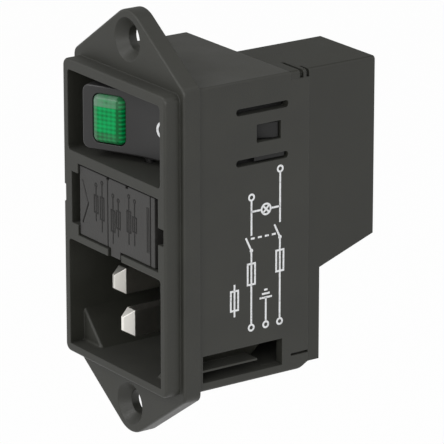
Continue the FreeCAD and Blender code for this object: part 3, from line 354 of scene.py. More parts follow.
@dataclass(frozen=True)
class MouldedPlastic:
    """Dyed moulded plastic with a fine eroded grain and cloudy tone; its edges can be made paler as a painted
    highlight.
    """

    name: str
    colour: tuple[float, float, float]
    roughness: float = 0.42
    top_roughness: float = 0.38
    front_roughness: float = 0.0
    specular: float = 0.42
    grain: float = 0.2
    relief: float = 0.022
    mottle: float = 0.6
    edge_radius: float = 0.22
    # Painted highlight: how much paler the colour grows near sharp edges.
    edge_highlight: float = 0.0
    cloud_size: float = 5.0
    drift_size: float = 22.0
    cloud_tone: float = 0.6
    drift_tone: float = 0.5
    cloud_rough: float = 0.2
    grain_rough: float = 0.16
    darkest: float = 0.6
    palest: float = 1.4

    def tone(self, share: float) -> Colour:
        """Returns the dye's colour made brighter or darker by a share."""
        return (*(part * share for part in self.colour), 1.0)

    def material(self) -> bpy.types.Material:
        """Builds the finish's node graph.

        Returns:
            The finish as a material.
        """
        sheet = NodeSheet(self.name)
        spot = sheet.place()
        fine = sheet.noise(spot, self.grain, 3.0) - 0.5
        cloud = sheet.noise(spot, self.cloud_size, 3.0) - 0.5
        drift = sheet.noise(spot, self.drift_size, 1.0) - 0.5
        soft, sharp = sheet.edge(self.edge_radius)
        share = 0.5 + fine * self.mottle + cloud * self.cloud_tone + drift * self.drift_tone
        # Painted highlight: the colour grows paler near sharp edges.
        share += sharp * self.edge_highlight
        ahead, upward = sheet.normal()
        rough = self.roughness + cloud * self.cloud_rough + fine * self.grain_rough
        rough += upward.between(*FACING) * self.top_roughness
        rough += ahead.between(*FACING) * self.front_roughness
        return sheet.finish({
            "Base Color": sheet.blend(share, self.tone(self.darkest), self.tone(self.palest)),
            "Roughness": rough,
            "Specular IOR Level": self.specular,
            "Normal": sheet.bump(fine, self.relief, soft),
        })


@dataclass(frozen=True)
class RibbedLens:
    """Clear green plastic over a bed of small prisms, which show as rows and columns of glints; its colour
    also holds a painted reflection along the top, the left margin and the foot, painted shade at the foot and
    left margin, and a painted glow.
    """

    name: str
    turn: float
    pivot: Vector
    ends: tuple[float, float]
    half_height: float
    shoulder: float
    deep: Colour = (0.0, 0.075, 0.016, 1.0)
    bright: Colour = (0.0, 0.27, 0.070, 1.0)
    # Whitish tint of the painted reflection.
    reflection_tint: Colour = (0.125, 0.225, 0.155, 1.0)
    # Colour of the painted glow.
    glow: Colour = (0.0, 0.22, 0.055, 1.0)
    row_pitch: float = 0.66
    column_pitch: float = 0.75
    crest: float = 1.7
    foot: float = 1.65
    margin: float = 1.0
    brow_lead: float = 0.1
    groove_width: float = 0.45
    front_tone: float = 0.72
    row_tone: float = 0.5
    column_tone: float = 0.35
    cloud_tone: float = 0.7
    brow_tone: float = 0.12
    brow_row_tone: float = 0.75
    foot_shade: float = 0.4
    margin_shade: float = 0.3
    crest_reflection: float = 0.7
    cloud_reflection: float = 1.2
    margin_reflection: float = 0.3
    foot_reflection: float = 0.15
    brow_reflection_cut: float = 0.7
    cloud_size: float = 1.5
    edge_radius: float = 0.1
    row_relief: float = 0.6
    column_relief: float = 0.4
    prism_depth: float = 0.03
    prism_strength: float = 0.6
    roughness: float = 0.3
    cloud_rough: float = 0.1
    sheen: float = 0.16
    painted_glow_strength: float = 0.3

    def material(self) -> bpy.types.Material:
        """Builds the finish's node graph: zones first, then the prisms' pattern in each.

        Returns:
            The finish as a material.
        """
        sheet = NodeSheet(self.name)
        along, _, up = sheet.parts(sheet.place(self.turn, self.pivot))
        rows = up.wave(self.row_pitch * MM)
        columns = along.wave(self.column_pitch * MM)
        cloud = sheet.noise(sheet.place(), self.cloud_size, 2.0) - 0.5
        left, right = self.ends
        brow_start = right - self.shoulder - self.brow_lead
        brow = self.past(along, brow_start)
        groove = brow * (1.0 - self.past(along, brow_start + self.groove_width))
        crest = self.past(up, self.half_height - self.crest)
        foot = 1.0 - self.past(up, self.foot - self.half_height)
        margin = 1.0 - self.past(along, left + self.margin)
        front = self.front_tone + cloud * self.cloud_tone
        # Painted shade: the lens's foot and left margin are darker.
        front = front - foot * self.foot_shade - margin * self.margin_shade
        front += (rows - 0.5) * self.row_tone + (columns - 0.5) * self.column_tone
        dots = self.brow_tone + (rows ** 2.0) * self.brow_row_tone * (1.0 - groove)
        share = front * (1.0 - brow) + dots * brow
        # Painted reflection: the colour turns whitish along the lens's top band, its left margin and its
        # foot, and less so on the right shoulder.
        painted_reflection = crest * (self.crest_reflection + cloud * self.cloud_reflection)
        painted_reflection += margin * self.margin_reflection
        painted_reflection += foot * self.foot_reflection
        painted_reflection *= 1.0 - brow * self.brow_reflection_cut
        soft, _ = sheet.edge(self.edge_radius)
        prisms = rows * self.row_relief + columns * self.column_relief
        return sheet.finish({
            "Base Color": sheet.blend(painted_reflection, sheet.blend(share, self.deep, self.bright), self.reflection_tint),
            "Roughness": self.roughness + cloud * self.cloud_rough,
            "Specular IOR Level": self.sheen,
            # Painted glow: the lens emits green light of its own, though no lamp in the scene lights it.
            "Emission Color": sheet.blend(share * (1.0 - painted_reflection), (0, 0, 0, 1), self.glow),
            "Emission Strength": self.painted_glow_strength,
            "Normal": sheet.bump(prisms, self.prism_depth, soft, self.prism_strength),
        })

    @staticmethod
    def past(place: Signal, line: float, blur: float = 0.2) -> Signal:
        """Returns 0 before a line on the lens and 1 past it.

        Args:
            place: The coordinate that crosses the line, in metres.
            line: Where the line lies, in millimetres.
            blur: Width of the step, in millimetres.

        Returns:
            The stepped signal.
        """
        return place.between((line - blur / 2) * MM, (line + blur / 2) * MM)


@dataclass(frozen=True)
class PlatedMetal:
    """Plated or rolled metal with fine drawing lines and a slightly uneven sheen."""

    name: str
    colour: tuple[float, float, float]
    roughness: float = 0.3
    lines: tuple[float, float, float] = (1.0, 12.0, 1.0)
    line_size: float = 0.12
    relief: float = 0.003
    tarnish: float = 0.25
    yellowing: tuple[float, float, float] = (1.0, 1.1, 1.3)
    clean_share: float = 0.55
    cloud_size: float = 1.8
    cloud_tone: float = 1.2
    line_rough: float = 0.2
    cloud_rough: float = 0.15
    edge_radius: float = 0.08

    def dull(self) -> Colour:
        """Returns the tarnished colour, which yellows as it darkens."""
        losses = (self.tarnish * share for share in self.yellowing)
        return (*(part * (1 - loss) for part, loss in zip(self.colour, losses)), 1.0)

    def material(self) -> bpy.types.Material:
        """Builds the finish's node graph.

        Returns:
            The finish as a material.
        """
        sheet = NodeSheet(self.name)
        spot = sheet.place()
        drawn = sheet.noise(spot, self.line_size, 2.0, self.lines) - 0.5
        cloud = sheet.noise(spot, self.cloud_size, 3.0) - 0.5
        soft, sharp = sheet.edge(self.edge_radius)
        clean = self.clean_share + cloud * self.cloud_tone + sharp
        return sheet.finish({
            "Base Color": sheet.blend(clean, self.dull(), (*self.colour, 1.0)),
            "Metallic": 1.0,
            "Roughness": self.roughness + drawn * self.line_rough + cloud * self.cloud_rough,
            "Normal": sheet.bump(drawn, self.relief, soft),
        })


@dataclass(frozen=True)
class PlatedPin:
    """Nickel-plated pin: flats drawn to a polish, tip ground to a satin; the front-facing tip is painted
    lighter as a painted highlight, the flats darker as painted shade.
    """

    name: str
    colour: Colour = (0.88, 0.86, 0.81, 1.0)
    # Colour of the flats, darker as painted shade.
    dull: Colour = (0.52, 0.50, 0.47, 1.0)
    flat_roughness: float = 0.3
    ground_roughness: float = 0.5
    lines: tuple[float, float, float] = (1.0, 14.0, 1.0)
    line_size: float = 0.1
    line_rough: float = 0.1
    cloud_size: float = 1.4
    cloud_tone: float = 0.5
    relief: float = 0.002
    edge_radius: float = 0.12
    tip_facing: tuple[float, float] = (0.12, 0.3)

    def material(self) -> bpy.types.Material:
        """Builds the finish's node graph.

        Returns:
            The finish as a material.
        """
        sheet = NodeSheet(self.name)
        spot = sheet.place()
        drawn = sheet.noise(spot, self.line_size, 2.0, self.lines) - 0.5
        cloud = sheet.noise(spot, self.cloud_size, 3.0) - 0.5
        ahead, _ = sheet.normal()
        ground_tip_and_highlight = ahead.between(*self.tip_facing)
        soft, _ = sheet.edge(self.edge_radius)
        rough = ground_tip_and_highlight * (self.ground_roughness - self.flat_roughness) + self.flat_roughness
        return sheet.finish({
            # Painted highlight and shade: the front-facing tip takes the pale colour, the flats the darker
            # one, with random cloud tone over both.
            "Base Color": sheet.blend(0.5 + ground_tip_and_highlight + cloud * self.cloud_tone, self.dull, self.colour),
            "Metallic": 1.0,
            "Roughness": rough + drawn * self.line_rough,
            "Normal": sheet.bump(drawn, self.relief, soft),
        })


@dataclass(frozen=True)
class ClearGlass:
    """Thin clear glass, a little uneven."""

    name: str
    colour: Colour
    roughness: float = 0.03
    bending: float = 1.47
    clearness: float = 0.95
    ripple_size: float = 2.5
    ripple_depth: float = 0.01
    ripple_rough: float = 0.04

    def material(self) -> bpy.types.Material:
        """Builds the finish's node graph.

        Returns:
            The finish as a material.
        """
        sheet = NodeSheet(self.name)
        ripple = sheet.noise(sheet.place(), self.ripple_size, 1.0)
        return sheet.finish({
            "Base Color": self.colour,
            "Roughness": self.roughness + ripple * self.ripple_rough,
            "IOR": self.bending,
            "Transmission Weight": self.clearness,
            "Normal": sheet.bump(ripple, self.ripple_depth),
        })


@dataclass(frozen=True)
class PrintedInk:
    """Pad-printed ink with a slightly broken film."""

    name: str
    colour: tuple[float, float, float]
    roughness: float = 0.55
    worn_share: float = 0.55
    speck_size: float = 0.25
    speck_range: tuple[float, float] = (0.25, 0.5)
    speck_rough: float = 0.2

    def material(self) -> bpy.types.Material:
        """Builds the finish's node graph.

        Returns:
            The finish as a material.
        """
        sheet = NodeSheet(self.name)
        speck = sheet.noise(sheet.place(), self.speck_size, 3.0)
        worn = (*(part * self.worn_share for part in self.colour), 1.0)
        return sheet.finish({
            "Base Color": sheet.blend(speck.between(*self.speck_range), worn, (*self.colour, 1.0)),
            "Roughness": self.roughness + (speck - 0.5) * self.speck_rough,
        })


# Mesh work


class Shape:
    """A bmesh that grows by operators and ends as one finished piece."""

    def __init__(self) -> None:
        """Starts with nothing."""
        self.mesh = bmesh.new()

    def bar(self, start: tuple[float, float], end: tuple[float, float], width: float) -> None:
        """Adds a flat straight stroke in the XY plane.

        Args:
            start: Its first end.
            end: Its other end.
            width: Its width.
        """
        first, last = Vector((*start, 0)), Vector((*end, 0))
        run = last - first
        turn = Matrix.Rotation(math.atan2(run.y, run.x), 4, "Z")
        scale = Matrix.Diagonal((run.length, width, 1, 1))
        bmesh.ops.create_grid(self.mesh, x_segments=1, y_segments=1, size=0.5,
                              matrix=Matrix.Translation((first + last) / 2) @ turn @ scale)

    def ring(self, centre: tuple[float, float], radius: float, width: float, segments: int = 32) -> None:
        """Adds a flat ring in the XY plane.

        Args:
            centre: Its middle.
            radius: Its outer radius.
            width: Width of its line.
            segments: How many sides it has.
        """
        edges: list[bmesh.types.BMEdge] = []
        for size in (radius, radius - width):
            made = bmesh.ops.create_circle(self.mesh, cap_ends=False, segments=segments, radius=size,
                                           matrix=Matrix.Translation((*centre, 0)))
            edges += {edge for vert in made["verts"] for edge in vert.link_edges}
        bmesh.ops.bridge_loops(self.mesh, edges=edges)

    def disc(self, centre: tuple[float, float], radius: float, segments: int = 24) -> None:
        """Adds a flat disc in the XY plane.

        Args:
            centre: Its middle.
            radius: Its radius.
            segments: How many sides it has.
        """
        bmesh.ops.create_circle(self.mesh, cap_ends=True, segments=segments, radius=radius,
                                matrix=Matrix.Translation((*centre, 0)))

    def frame(self, low: tuple[float, float], high: tuple[float, float], width: float) -> None:
        """Adds the outline of a box as four strokes that meet at its corners.

        Args:
            low: Its lower left corner.
            high: Its upper right corner.
            width: Width of the strokes.
        """
        (left, bottom), (right, top) = low, high
        half = width / 2
        self.bar((left - half, bottom), (right + half, bottom), width)
        self.bar((left - half, top), (right + half, top), width)
        self.bar((left, bottom + half), (left, top - half), width)
        self.bar((right, bottom + half), (right, top - half), width)

    def fuse(self, across: float, half: float, ends: tuple[float, float], reach: float, width: float) -> None:
        """Adds a fuse sign: an upright box with a line that runs through it.

        Args:
            across: Place of the line.
            half: Half of the box's width.
            ends: Lower and upper end of the box.
            reach: How far the line runs past each end.
            width: Width of the strokes.
        """
        low, high = ends
        self.frame((across - half, low), (across + half, high), width)
        for start, end in ((low - reach, low - width / 2), (low + width / 2, high - width / 2),
                           (high + width / 2, high + reach)):
            self.bar((across, start), (across, end), width)

    def thicken(self, height: float) -> None:
        """Gives every flat face a thickness towards +Z.

        Args:
            height: The thickness.
        """
        bmesh.ops.recalc_face_normals(self.mesh, faces=self.mesh.faces)
        made = bmesh.ops.extrude_face_region(self.mesh, geom=self.mesh.faces[:])
        moved = [item for item in made["geom"] if isinstance(item, bmesh.types.BMVert)]
        bmesh.ops.translate(self.mesh, verts=moved, vec=(0, 0, height))
        bmesh.ops.recalc_face_normals(self.mesh, faces=self.mesh.faces)

    def round_off(self, edges: Sequence[bmesh.types.BMEdge], offset: float, segments: int = 10) -> None:
        """Rounds edges.

        Args:
            edges: The edges.
            offset: How far the rounding reaches from each edge.
            segments: How many faces it has across.
        """
        bmesh.ops.bevel(self.mesh, geom=edges, offset=offset, offset_type="OFFSET", segments=segments,
                        profile=0.5, affect="EDGES", material=-1)

    def piece(
        self,
        name: str,
        place: Matrix,
        finish: bpy.types.Material,
        body: Body,
        slot: Slot,
        smooth: bool = False,
    ) -> bpy.types.Object:
        """Ends the shape as an object that rides on a body.

        Args:
            name: The piece's name.
            place: From the shape's own millimetres to the frame, still in millimetres.
            finish: Its material.
            body: The body it rides on.
            slot: The record's slot that its finish belongs to; it is not used.
            smooth: Whether its faces are shaded smooth.

        Returns:
            The new object.
        """
        in_metres = Matrix.Diagonal((MM, MM, MM, 1)) @ place
        bmesh.ops.transform(self.mesh, matrix=in_metres, verts=self.mesh.verts)
        for face in self.mesh.faces:
            face.smooth = smooth
        data = bpy.data.meshes.new(name)
        self.mesh.to_mesh(data)
        self.mesh.free()
        data.materials.append(finish)
        item = bpy.data.objects.new(name, data)
        bpy.context.scene.collection.objects.link(item)
        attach(item, body.value)
        LOG.info("%s: %d faces on %s", name, len(data.polygons), body.value)
        return item


def dress(finish: bpy.types.Material, *nodes: str) -> None:
    """Gives CAD nodes a finish.

    Args:
        finish: The material.
        nodes: Names of the nodes.
    """
    for name in nodes:
        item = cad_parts[name]
        if not item.material_slots:
            item.data.materials.append(finish)
        for place in item.material_slots:
            place.material = finish
        LOG.info("%s wears %s", name, finish.name)


def both(piece: str) -> tuple[str, str]:
    """Returns a node's name on the line pole and on the neutral pole."""
    return f"line_{piece}", f"neutral_{piece}"


# Sub-assemblies


@dataclass
class WiringDiagram:
    """The diagram printed on the right side: two fused and switched poles, the lamp and the earth.

    Its own axes are the distance behind the flange and the height, both in millimetres.
    """

    side: float = 13.6
    line: float = 0.3
    terminal: float = 0.6
    line_across: float = 9.6
    neutral_across: float = 14.7
    earth_across: float = 12.2
    foot: float = -14.6
    below_fuse: float = 3.0
    line_top: float = 5.4
    neutral_top: float = 8.9
    fuse_half: float = 0.65
    fuse_length: float = 3.2
    fuse_lead: float = 1.0
    gap_rise: float = 3.6
    gap_clear: float = 0.7
    hinge: float = 0.3
    hinge_drop: float = 1.6
    hinge_clear: float = 0.28
    blade_foot: tuple[float, float] = (-0.12, 0.25)
    blade_tip: tuple[float, float] = (-1.0, 0.5)
    lamp_height: float = 3.2
    lamp: float = 0.95
    lamp_cross: float = 0.47
    lamp_core: float = 0.1
    link_height: float = -0.9
    link_dash: float = 0.7
    link_step: float = 1.25
    link_start: float = 9.5
    link_dashes: int = 4
    earth_height: float = -10.4
    earth_step: float = 0.6
    earth_halves: tuple[float, float, float] = (1.1, 0.7, 0.3)
    loose_fuse: tuple[float, float] = (6.6, -11.4)
    loose_fuse_length: float = 3.0

    def build(self, ink: bpy.types.Material) -> None:
        """Prints the diagram.

        Args:
            ink: The printing ink.
        """
        shape = Shape()
        self.draw_pole(shape, self.line_across, self.line_top)
        self.draw_pole(shape, self.neutral_across, self.neutral_top)
        self.draw_earth(shape)
        self.draw_link(shape)
        self.draw_lamp(shape)
        across, low = self.loose_fuse
        ends = (low, low + self.loose_fuse_length)
        shape.fuse(across, self.fuse_half, ends, self.fuse_lead, self.line)
        shape.thicken(FILM)
        onto_side = Matrix(((0, 0, 1, self.side), (1, 0, 0, 0), (0, 1, 0, 0), (0, 0, 0, 1)))
        shape.piece("wiring_diagram", onto_side, ink, Body.CASE, Slot.LIGHT)

    def draw_pole(self, shape: Shape, across: float, top: float) -> None:
        """Draws one pole from its inlet terminal through fuse and switch to its tab.

        Args:
            shape: The print.
            across: Place of the line.
            top: Where it ends.
        """
        fuse_low = self.foot + (top - self.foot) / self.below_fuse
        fuse_high = fuse_low + self.fuse_length
        gap = fuse_high + self.gap_rise
        hinge = gap - self.hinge_drop
        shape.ring((across, self.foot), self.terminal, self.line)
        shape.bar((across, self.foot + self.terminal), (across, fuse_low - self.fuse_lead), self.line)
        shape.fuse(across, self.fuse_half, (fuse_low, fuse_high), self.fuse_lead, self.line)
        shape.bar((across, fuse_high + self.fuse_lead), (across, hinge - self.hinge_clear), self.line)
        shape.disc((across, hinge), self.hinge)
        foot = Vector(self.blade_foot) + Vector((across, hinge))
        tip = Vector(self.blade_tip) + Vector((across, gap))
        shape.bar(tuple(foot), tuple(tip), self.line)
        shape.bar((across, gap + self.gap_clear), (across, top - self.terminal), self.line)
        shape.ring((across, top), self.terminal, self.line)

    def draw_earth(self, shape: Shape) -> None:
        """Draws the earth terminal and its sign.

        Args:
            shape: The print.
        """
        across = self.earth_across
        shape.ring((across, self.foot), self.terminal, self.line)
        shape.bar((across, self.foot + self.terminal), (across, self.earth_height), self.line)
        for step, half in enumerate(self.earth_halves):
            height = self.earth_height + self.earth_step * step
            shape.bar((across - half, height), (across + half, height), self.line)

    def draw_link(self, shape: Shape) -> None:
        """Draws the dashes that tie the two switches together.

        Args:
            shape: The print.
        """
        for step in range(self.link_dashes):
            start = self.link_start + self.link_step * step
            shape.bar((start, self.link_height), (start + self.link_dash, self.link_height), self.line)

    def draw_lamp(self, shape: Shape) -> None:
        """Draws the lamp between the poles: a crossed ring whose strokes don't overlap.

        Args:
            shape: The print.
        """
        across, height = self.earth_across, self.lamp_height
        arm, core = self.lamp_cross, self.lamp_core
        shape.ring((across, height), self.lamp, self.line)
        shape.bar((across - arm, height - arm), (across + arm, height + arm), self.line)
        shape.bar((across - arm, height + arm), (across - core, height + core), self.line)
        shape.bar((across + core, height - core), (across + arm, height - arm), self.line)
        shape.bar((self.line_across, height), (across - self.lamp, height), self.line)
        shape.bar((across + self.lamp, height), (self.neutral_across, height), self.line)


@dataclass
class Case:
    """Housing, rear cover and switch base."""

    housing: MouldedPlastic = MouldedPlastic(
        "black_housing", (0.0218, 0.0221, 0.0176), roughness=0.44, front_roughness=0.14)
    cover: MouldedPlastic = MouldedPlastic(
        "black_cover", (0.0170, 0.0173, 0.0133), roughness=0.46, top_roughness=0.52)
    base: MouldedPlastic = MouldedPlastic(
        "black_base", (0.007, 0.007, 0.0068), roughness=0.5, specular=0.3)

    def build(self) -> None:
        """Dresses the mouldings."""
        dress(self.housing.material(), "housing")
        dress(self.cover.material(), "rear_cover")
        dress(self.base.material(), "switch_base")


@dataclass
class RockerSwitch:
    """Rocker with its ribbed green lens, its off mark and its two springs, all on the rocker's pivot."""

    pivot: Vector = field(default_factory=lambda: Vector((0.0, 1.05, 15.125)))
    tilt: float = 20.0
    dish: float = 5.0
    crown: float = 2.5
    lens_ends: tuple[float, float] = (-7.9, -2.55)
    lens_half_height: float = 3.65
    lens_rise: float = 0.55
    lens_back: float = -1.7
    lens_corner: float = 1.0
    lens_shoulder: float = 1.05
    lens_gap: float = 0.01
    brow_share: float = 0.93
    mark_centre: float = 4.55
    mark_radius: float = 1.35
    mark_line: float = 0.42
    mark_segments: int = 48
    pole_offset: float = 2.9
    spring_ends: tuple[float, float] = (-0.98, 2.18)
    spring_radius: float = 0.85
    spring_wire: float = 0.26
    spring_turns: int = 4
    spring_sides: int = 12
    spring_steps: int = 24
    plunger_travel: float = 1.0
    plastic: MouldedPlastic = MouldedPlastic(
        "black_rocker", (0.016, 0.0155, 0.0155), roughness=0.36, relief=0.006)
    steel: PlatedMetal = PlatedMetal("spring_steel", (0.6, 0.61, 0.62), 0.3)

    def upright(self) -> Matrix:
        """Returns the turn and shift from the rocker's own axes to the frame."""
        return Matrix.Translation(self.pivot) @ Matrix.Rotation(math.radians(self.tilt), 4, "Z")

    def face(self, along: float, lift: float, right: bool) -> Matrix:
        """Returns the place of a drawing plane on one half of the dished front.

        Args:
            along: Distance from the pivot, along the rocker.
            lift: Height of the plane over the rocker's face.
            right: Whether it is on the right half.

        Returns:
            From the plane's own millimetres to the frame's.
        """
        dish = math.radians(self.dish)
        lean = -dish if right else dish
        depth = -(self.crown + lift + abs(along) * math.tan(dish))
        stand = Matrix(((1, 0, 0, 0), (0, 0, -1, 0), (0, 1, 0, 0), (0, 0, 0, 1)))
        return self.upright() @ Matrix.Translation((along, depth, 0)) @ Matrix.Rotation(lean, 4, "Z") @ stand

    def build(self, ink: bpy.types.Material) -> None:
        """Dresses the rocker and adds its mark, its lens and the plungers' springs.

        Args:
            ink: The printing ink.
        """
        dress(self.plastic.material(), "rocker")
        self.add_mark(ink)
        self.add_lens()
        steel = self.steel.material()
        self.add_spring("line", self.pole_offset, steel)
        self.add_spring("neutral", -self.pole_offset, steel)

    def add_mark(self, ink: bpy.types.Material) -> None:
        """Prints the ring that marks the off side.

        Args:
            ink: The printing ink.
        """
        shape = Shape()
        shape.ring((0, 0), self.mark_radius, self.mark_line, self.mark_segments)
        shape.thicken(FILM)
        place = self.face(self.mark_centre, 0.0, True)
        shape.piece("off_mark", place, ink, Body.ROCKER, Slot.LIGHT)

    def add_lens(self) -> None:
        """Models the lens: a rounded block whose front edge is softly crowned."""
        shape = Shape()
        left, right = self.lens_ends
        middle = (left + right) / 2
        depth = -self.lens_back - 2 * self.lens_gap
        front = self.crown + self.lens_rise + abs(middle) * math.tan(math.radians(self.dish))
        size = (right - left - 2 * self.lens_gap, 2 * self.lens_half_height, front - depth)
        block = Matrix.Translation((0, 0, -size[2] / 2)) @ Matrix.Diagonal((*size, 1))
        bmesh.ops.create_cube(shape.mesh, size=1.0, matrix=block)
        upright = [edge for edge in shape.mesh.edges
                   if abs(edge.verts[0].co.z - edge.verts[1].co.z) > 0.5 * size[2]]
        shape.round_off(upright, self.lens_corner)
        brow = [edge for edge in shape.mesh.edges if all(vert.co.z > -self.lens_gap for vert in edge.verts)]
        shape.round_off(brow, self.lens_shoulder * self.brow_share)
        glass = RibbedLens("ribbed_green_lens", self.tilt, self.pivot * MM, self.lens_ends,
                           self.lens_half_height, self.lens_shoulder).material()
        place = self.face(middle, self.lens_rise, False)
        lens = shape.piece("ribbed_lens", place, glass, Body.ROCKER, Slot.LENS, smooth=True)
        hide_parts("rocker_lens")

    def add_spring(self, pole: str, rise: float, steel: bpy.types.Material) -> None:
        """Winds the spring of one plunger.

        Args:
            pole: The pole, as its nodes are named.
            rise: Height of the pole over the pivot's middle.
            steel: The spring's finish.
        """
        shape = Shape()
        start, end = self.spring_ends
        half = self.spring_wire / 2
        wire_end = Matrix.Translation((self.spring_radius, start + half, 0))
        section = bmesh.ops.create_circle(shape.mesh, cap_ends=False, segments=self.spring_sides,
                                          radius=half, matrix=wire_end)["verts"]
        around = list({edge for vert in section for edge in vert.link_edges})
        steps = self.spring_steps * self.spring_turns
        climb = (0, (end - start - self.spring_wire) / steps, 0)
        bmesh.ops.spin(shape.mesh, geom=section + around, cent=(0, 0, 0), axis=(0, 1, 0), dvec=climb,
                       angle=math.tau * self.spring_turns, steps=steps, use_merge=False)
        rims = [edge for edge in shape.mesh.edges if edge.is_boundary]
        bmesh.ops.holes_fill(shape.mesh, edges=rims, sides=0)
        bmesh.ops.recalc_face_normals(shape.mesh, faces=shape.mesh.faces)
        place = Matrix.Translation((0, 0, rise)) @ self.upright()
        coil = shape.piece(f"{pole}_coil", place, steel, Body.ROCKER, Slot.SPRING, smooth=True)
        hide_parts(f"{pole}_plunger_spring")
        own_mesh(coil)


@dataclass(frozen=True)
class FuseSign:
    """Place and size of one upright fuse sign on the drawer's face, in millimetres."""

    across: float
    low: float
    high: float
    reach: float


@dataclass
class FuseDrawer:
    """Drawer with its engraved fuse signs shown on its face as a dark film of painted shade, and its two
    glass fuse links.
    """

    face: float = -5.2
    line: float = 0.26
    sign_half: float = 0.48
    sign_eye: float = 0.36
    eye_line: float = 0.208
    signs: tuple[FuseSign, ...] = (
        FuseSign(-5.0, 0.9, 3.5, 1.3),
        FuseSign(-3.4, 0.2, 3.6, 1.9),
        FuseSign(-0.5, -0.8, 2.4, 1.9),
        FuseSign(0.9, 0.0, 2.6, 1.3),
        FuseSign(3.7, 0.2, 3.4, 1.9),
        FuseSign(5.2, 0.6, 2.8, 2.1),
    )
    plastic: MouldedPlastic = MouldedPlastic(
        "grey_drawer", (0.022, 0.021, 0.0195), roughness=0.5, grain=0.34, relief=0.03, mottle=1.2)
    # Painted shade: dark film standing for the shade inside the engraved fuse signs.
    sign_shade: MouldedPlastic = MouldedPlastic(
        "painted_sign_shade", (0.010, 0.0092, 0.0085), roughness=0.6, specular=0.24)
    glass: ClearGlass = ClearGlass("fuse_glass", (0.93, 0.97, 0.96, 1.0))
    caps: PlatedMetal = PlatedMetal("fuse_cap_nickel", (0.74, 0.73, 0.70), 0.26)
    wire: PlatedMetal = PlatedMetal("fuse_wire_tin", (0.72, 0.72, 0.73), 0.35)

    def build(self) -> None:
        """Dresses the drawer and the fuse links."""
        dress(self.plastic.material(), "fuse_drawer")
        self.paint_sign_shade()
        dress(self.glass.material(), *both("fuse_tube"))
        dress(self.caps.material(), *both("fuse_caps"))
        dress(self.wire.material(), *both("fuse_wire"))

    def paint_sign_shade(self) -> None:
        """Lays three pairs of upright fuse signs on the face as a film darker than the plastic: painted shade
        of engraved signs.
        """
        shape = Shape()
        for sign in self.signs:
            shape.fuse(sign.across, self.sign_half, (sign.low, sign.high), sign.reach, self.line)
            eye = sign.high + sign.reach + self.sign_eye
            shape.ring((sign.across, eye), self.sign_eye, self.eye_line)
        shape.thicken(FILM)
        onto_face = Matrix(((1, 0, 0, 0), (0, 0, -1, self.face), (0, 1, 0, 0), (0, 0, 0, 1)))
        shape.piece("drawer_sign_shade", onto_face, self.sign_shade.material(), Body.DRAWER, Slot.DRAWER)


@dataclass
class ContactWork:
    """Pins, terminals, levers and plungers, and the lamp with its resistor."""

    pins: PlatedPin = PlatedPin("pin_nickel")
    brass: PlatedMetal = PlatedMetal("terminal_brass", (0.80, 0.62, 0.32), 0.3, tarnish=0.35)
    silver: PlatedMetal = PlatedMetal("contact_silver", (0.83, 0.80, 0.74), 0.24)
    ivory: MouldedPlastic = MouldedPlastic(
        "ivory_plunger", (0.62, 0.60, 0.54), roughness=0.4, mottle=0.1, edge_highlight=0.2)
    lamp: ClearGlass = ClearGlass("lamp_glass", (0.95, 0.86, 0.74, 1.0))
    lacquer: MouldedPlastic = MouldedPlastic(
        "resistor_lacquer", (0.52, 0.40, 0.25), roughness=0.25, mottle=0.1, edge_highlight=0.2)

    def build(self) -> None:
        """Dresses the metal and electrical pieces."""
        dress(self.pins.material(), "line_pin", "neutral_pin", "earth_pin")
        dress(self.brass.material(), *both("pivot_terminal"), *both("fixed_contact"), *both("bus_bar"))
        dress(self.silver.material(), *both("contact_lever"), *both("front_contact"), *both("rear_contact"))
        dress(self.ivory.material(), *both("plunger"))
        dress(self.lamp.material(), "neon_lamp")
        dress(self.lacquer.material(), "ballast_resistor")


@dataclass(frozen=True)
class Softbox:
    """One square soft lamp aimed at the object, in millimetres and watts."""

    name: str
    place: tuple[float, float, float]
    size: float
    power: float

    def build(self) -> None:
        """Stands the lamp at its place."""
        light = bpy.data.lights.new(self.name, "AREA")
        light.size = self.size * MM
        light.energy = self.power
        lamp = bpy.data.objects.new(self.name, light)
        lamp.location = Vector(self.place) * MM
        lamp.rotation_mode = "QUATERNION"
        lamp.rotation_quaternion = (-Vector(self.place)).to_track_quat("-Z", "Y")
        bpy.context.scene.collection.objects.link(lamp)


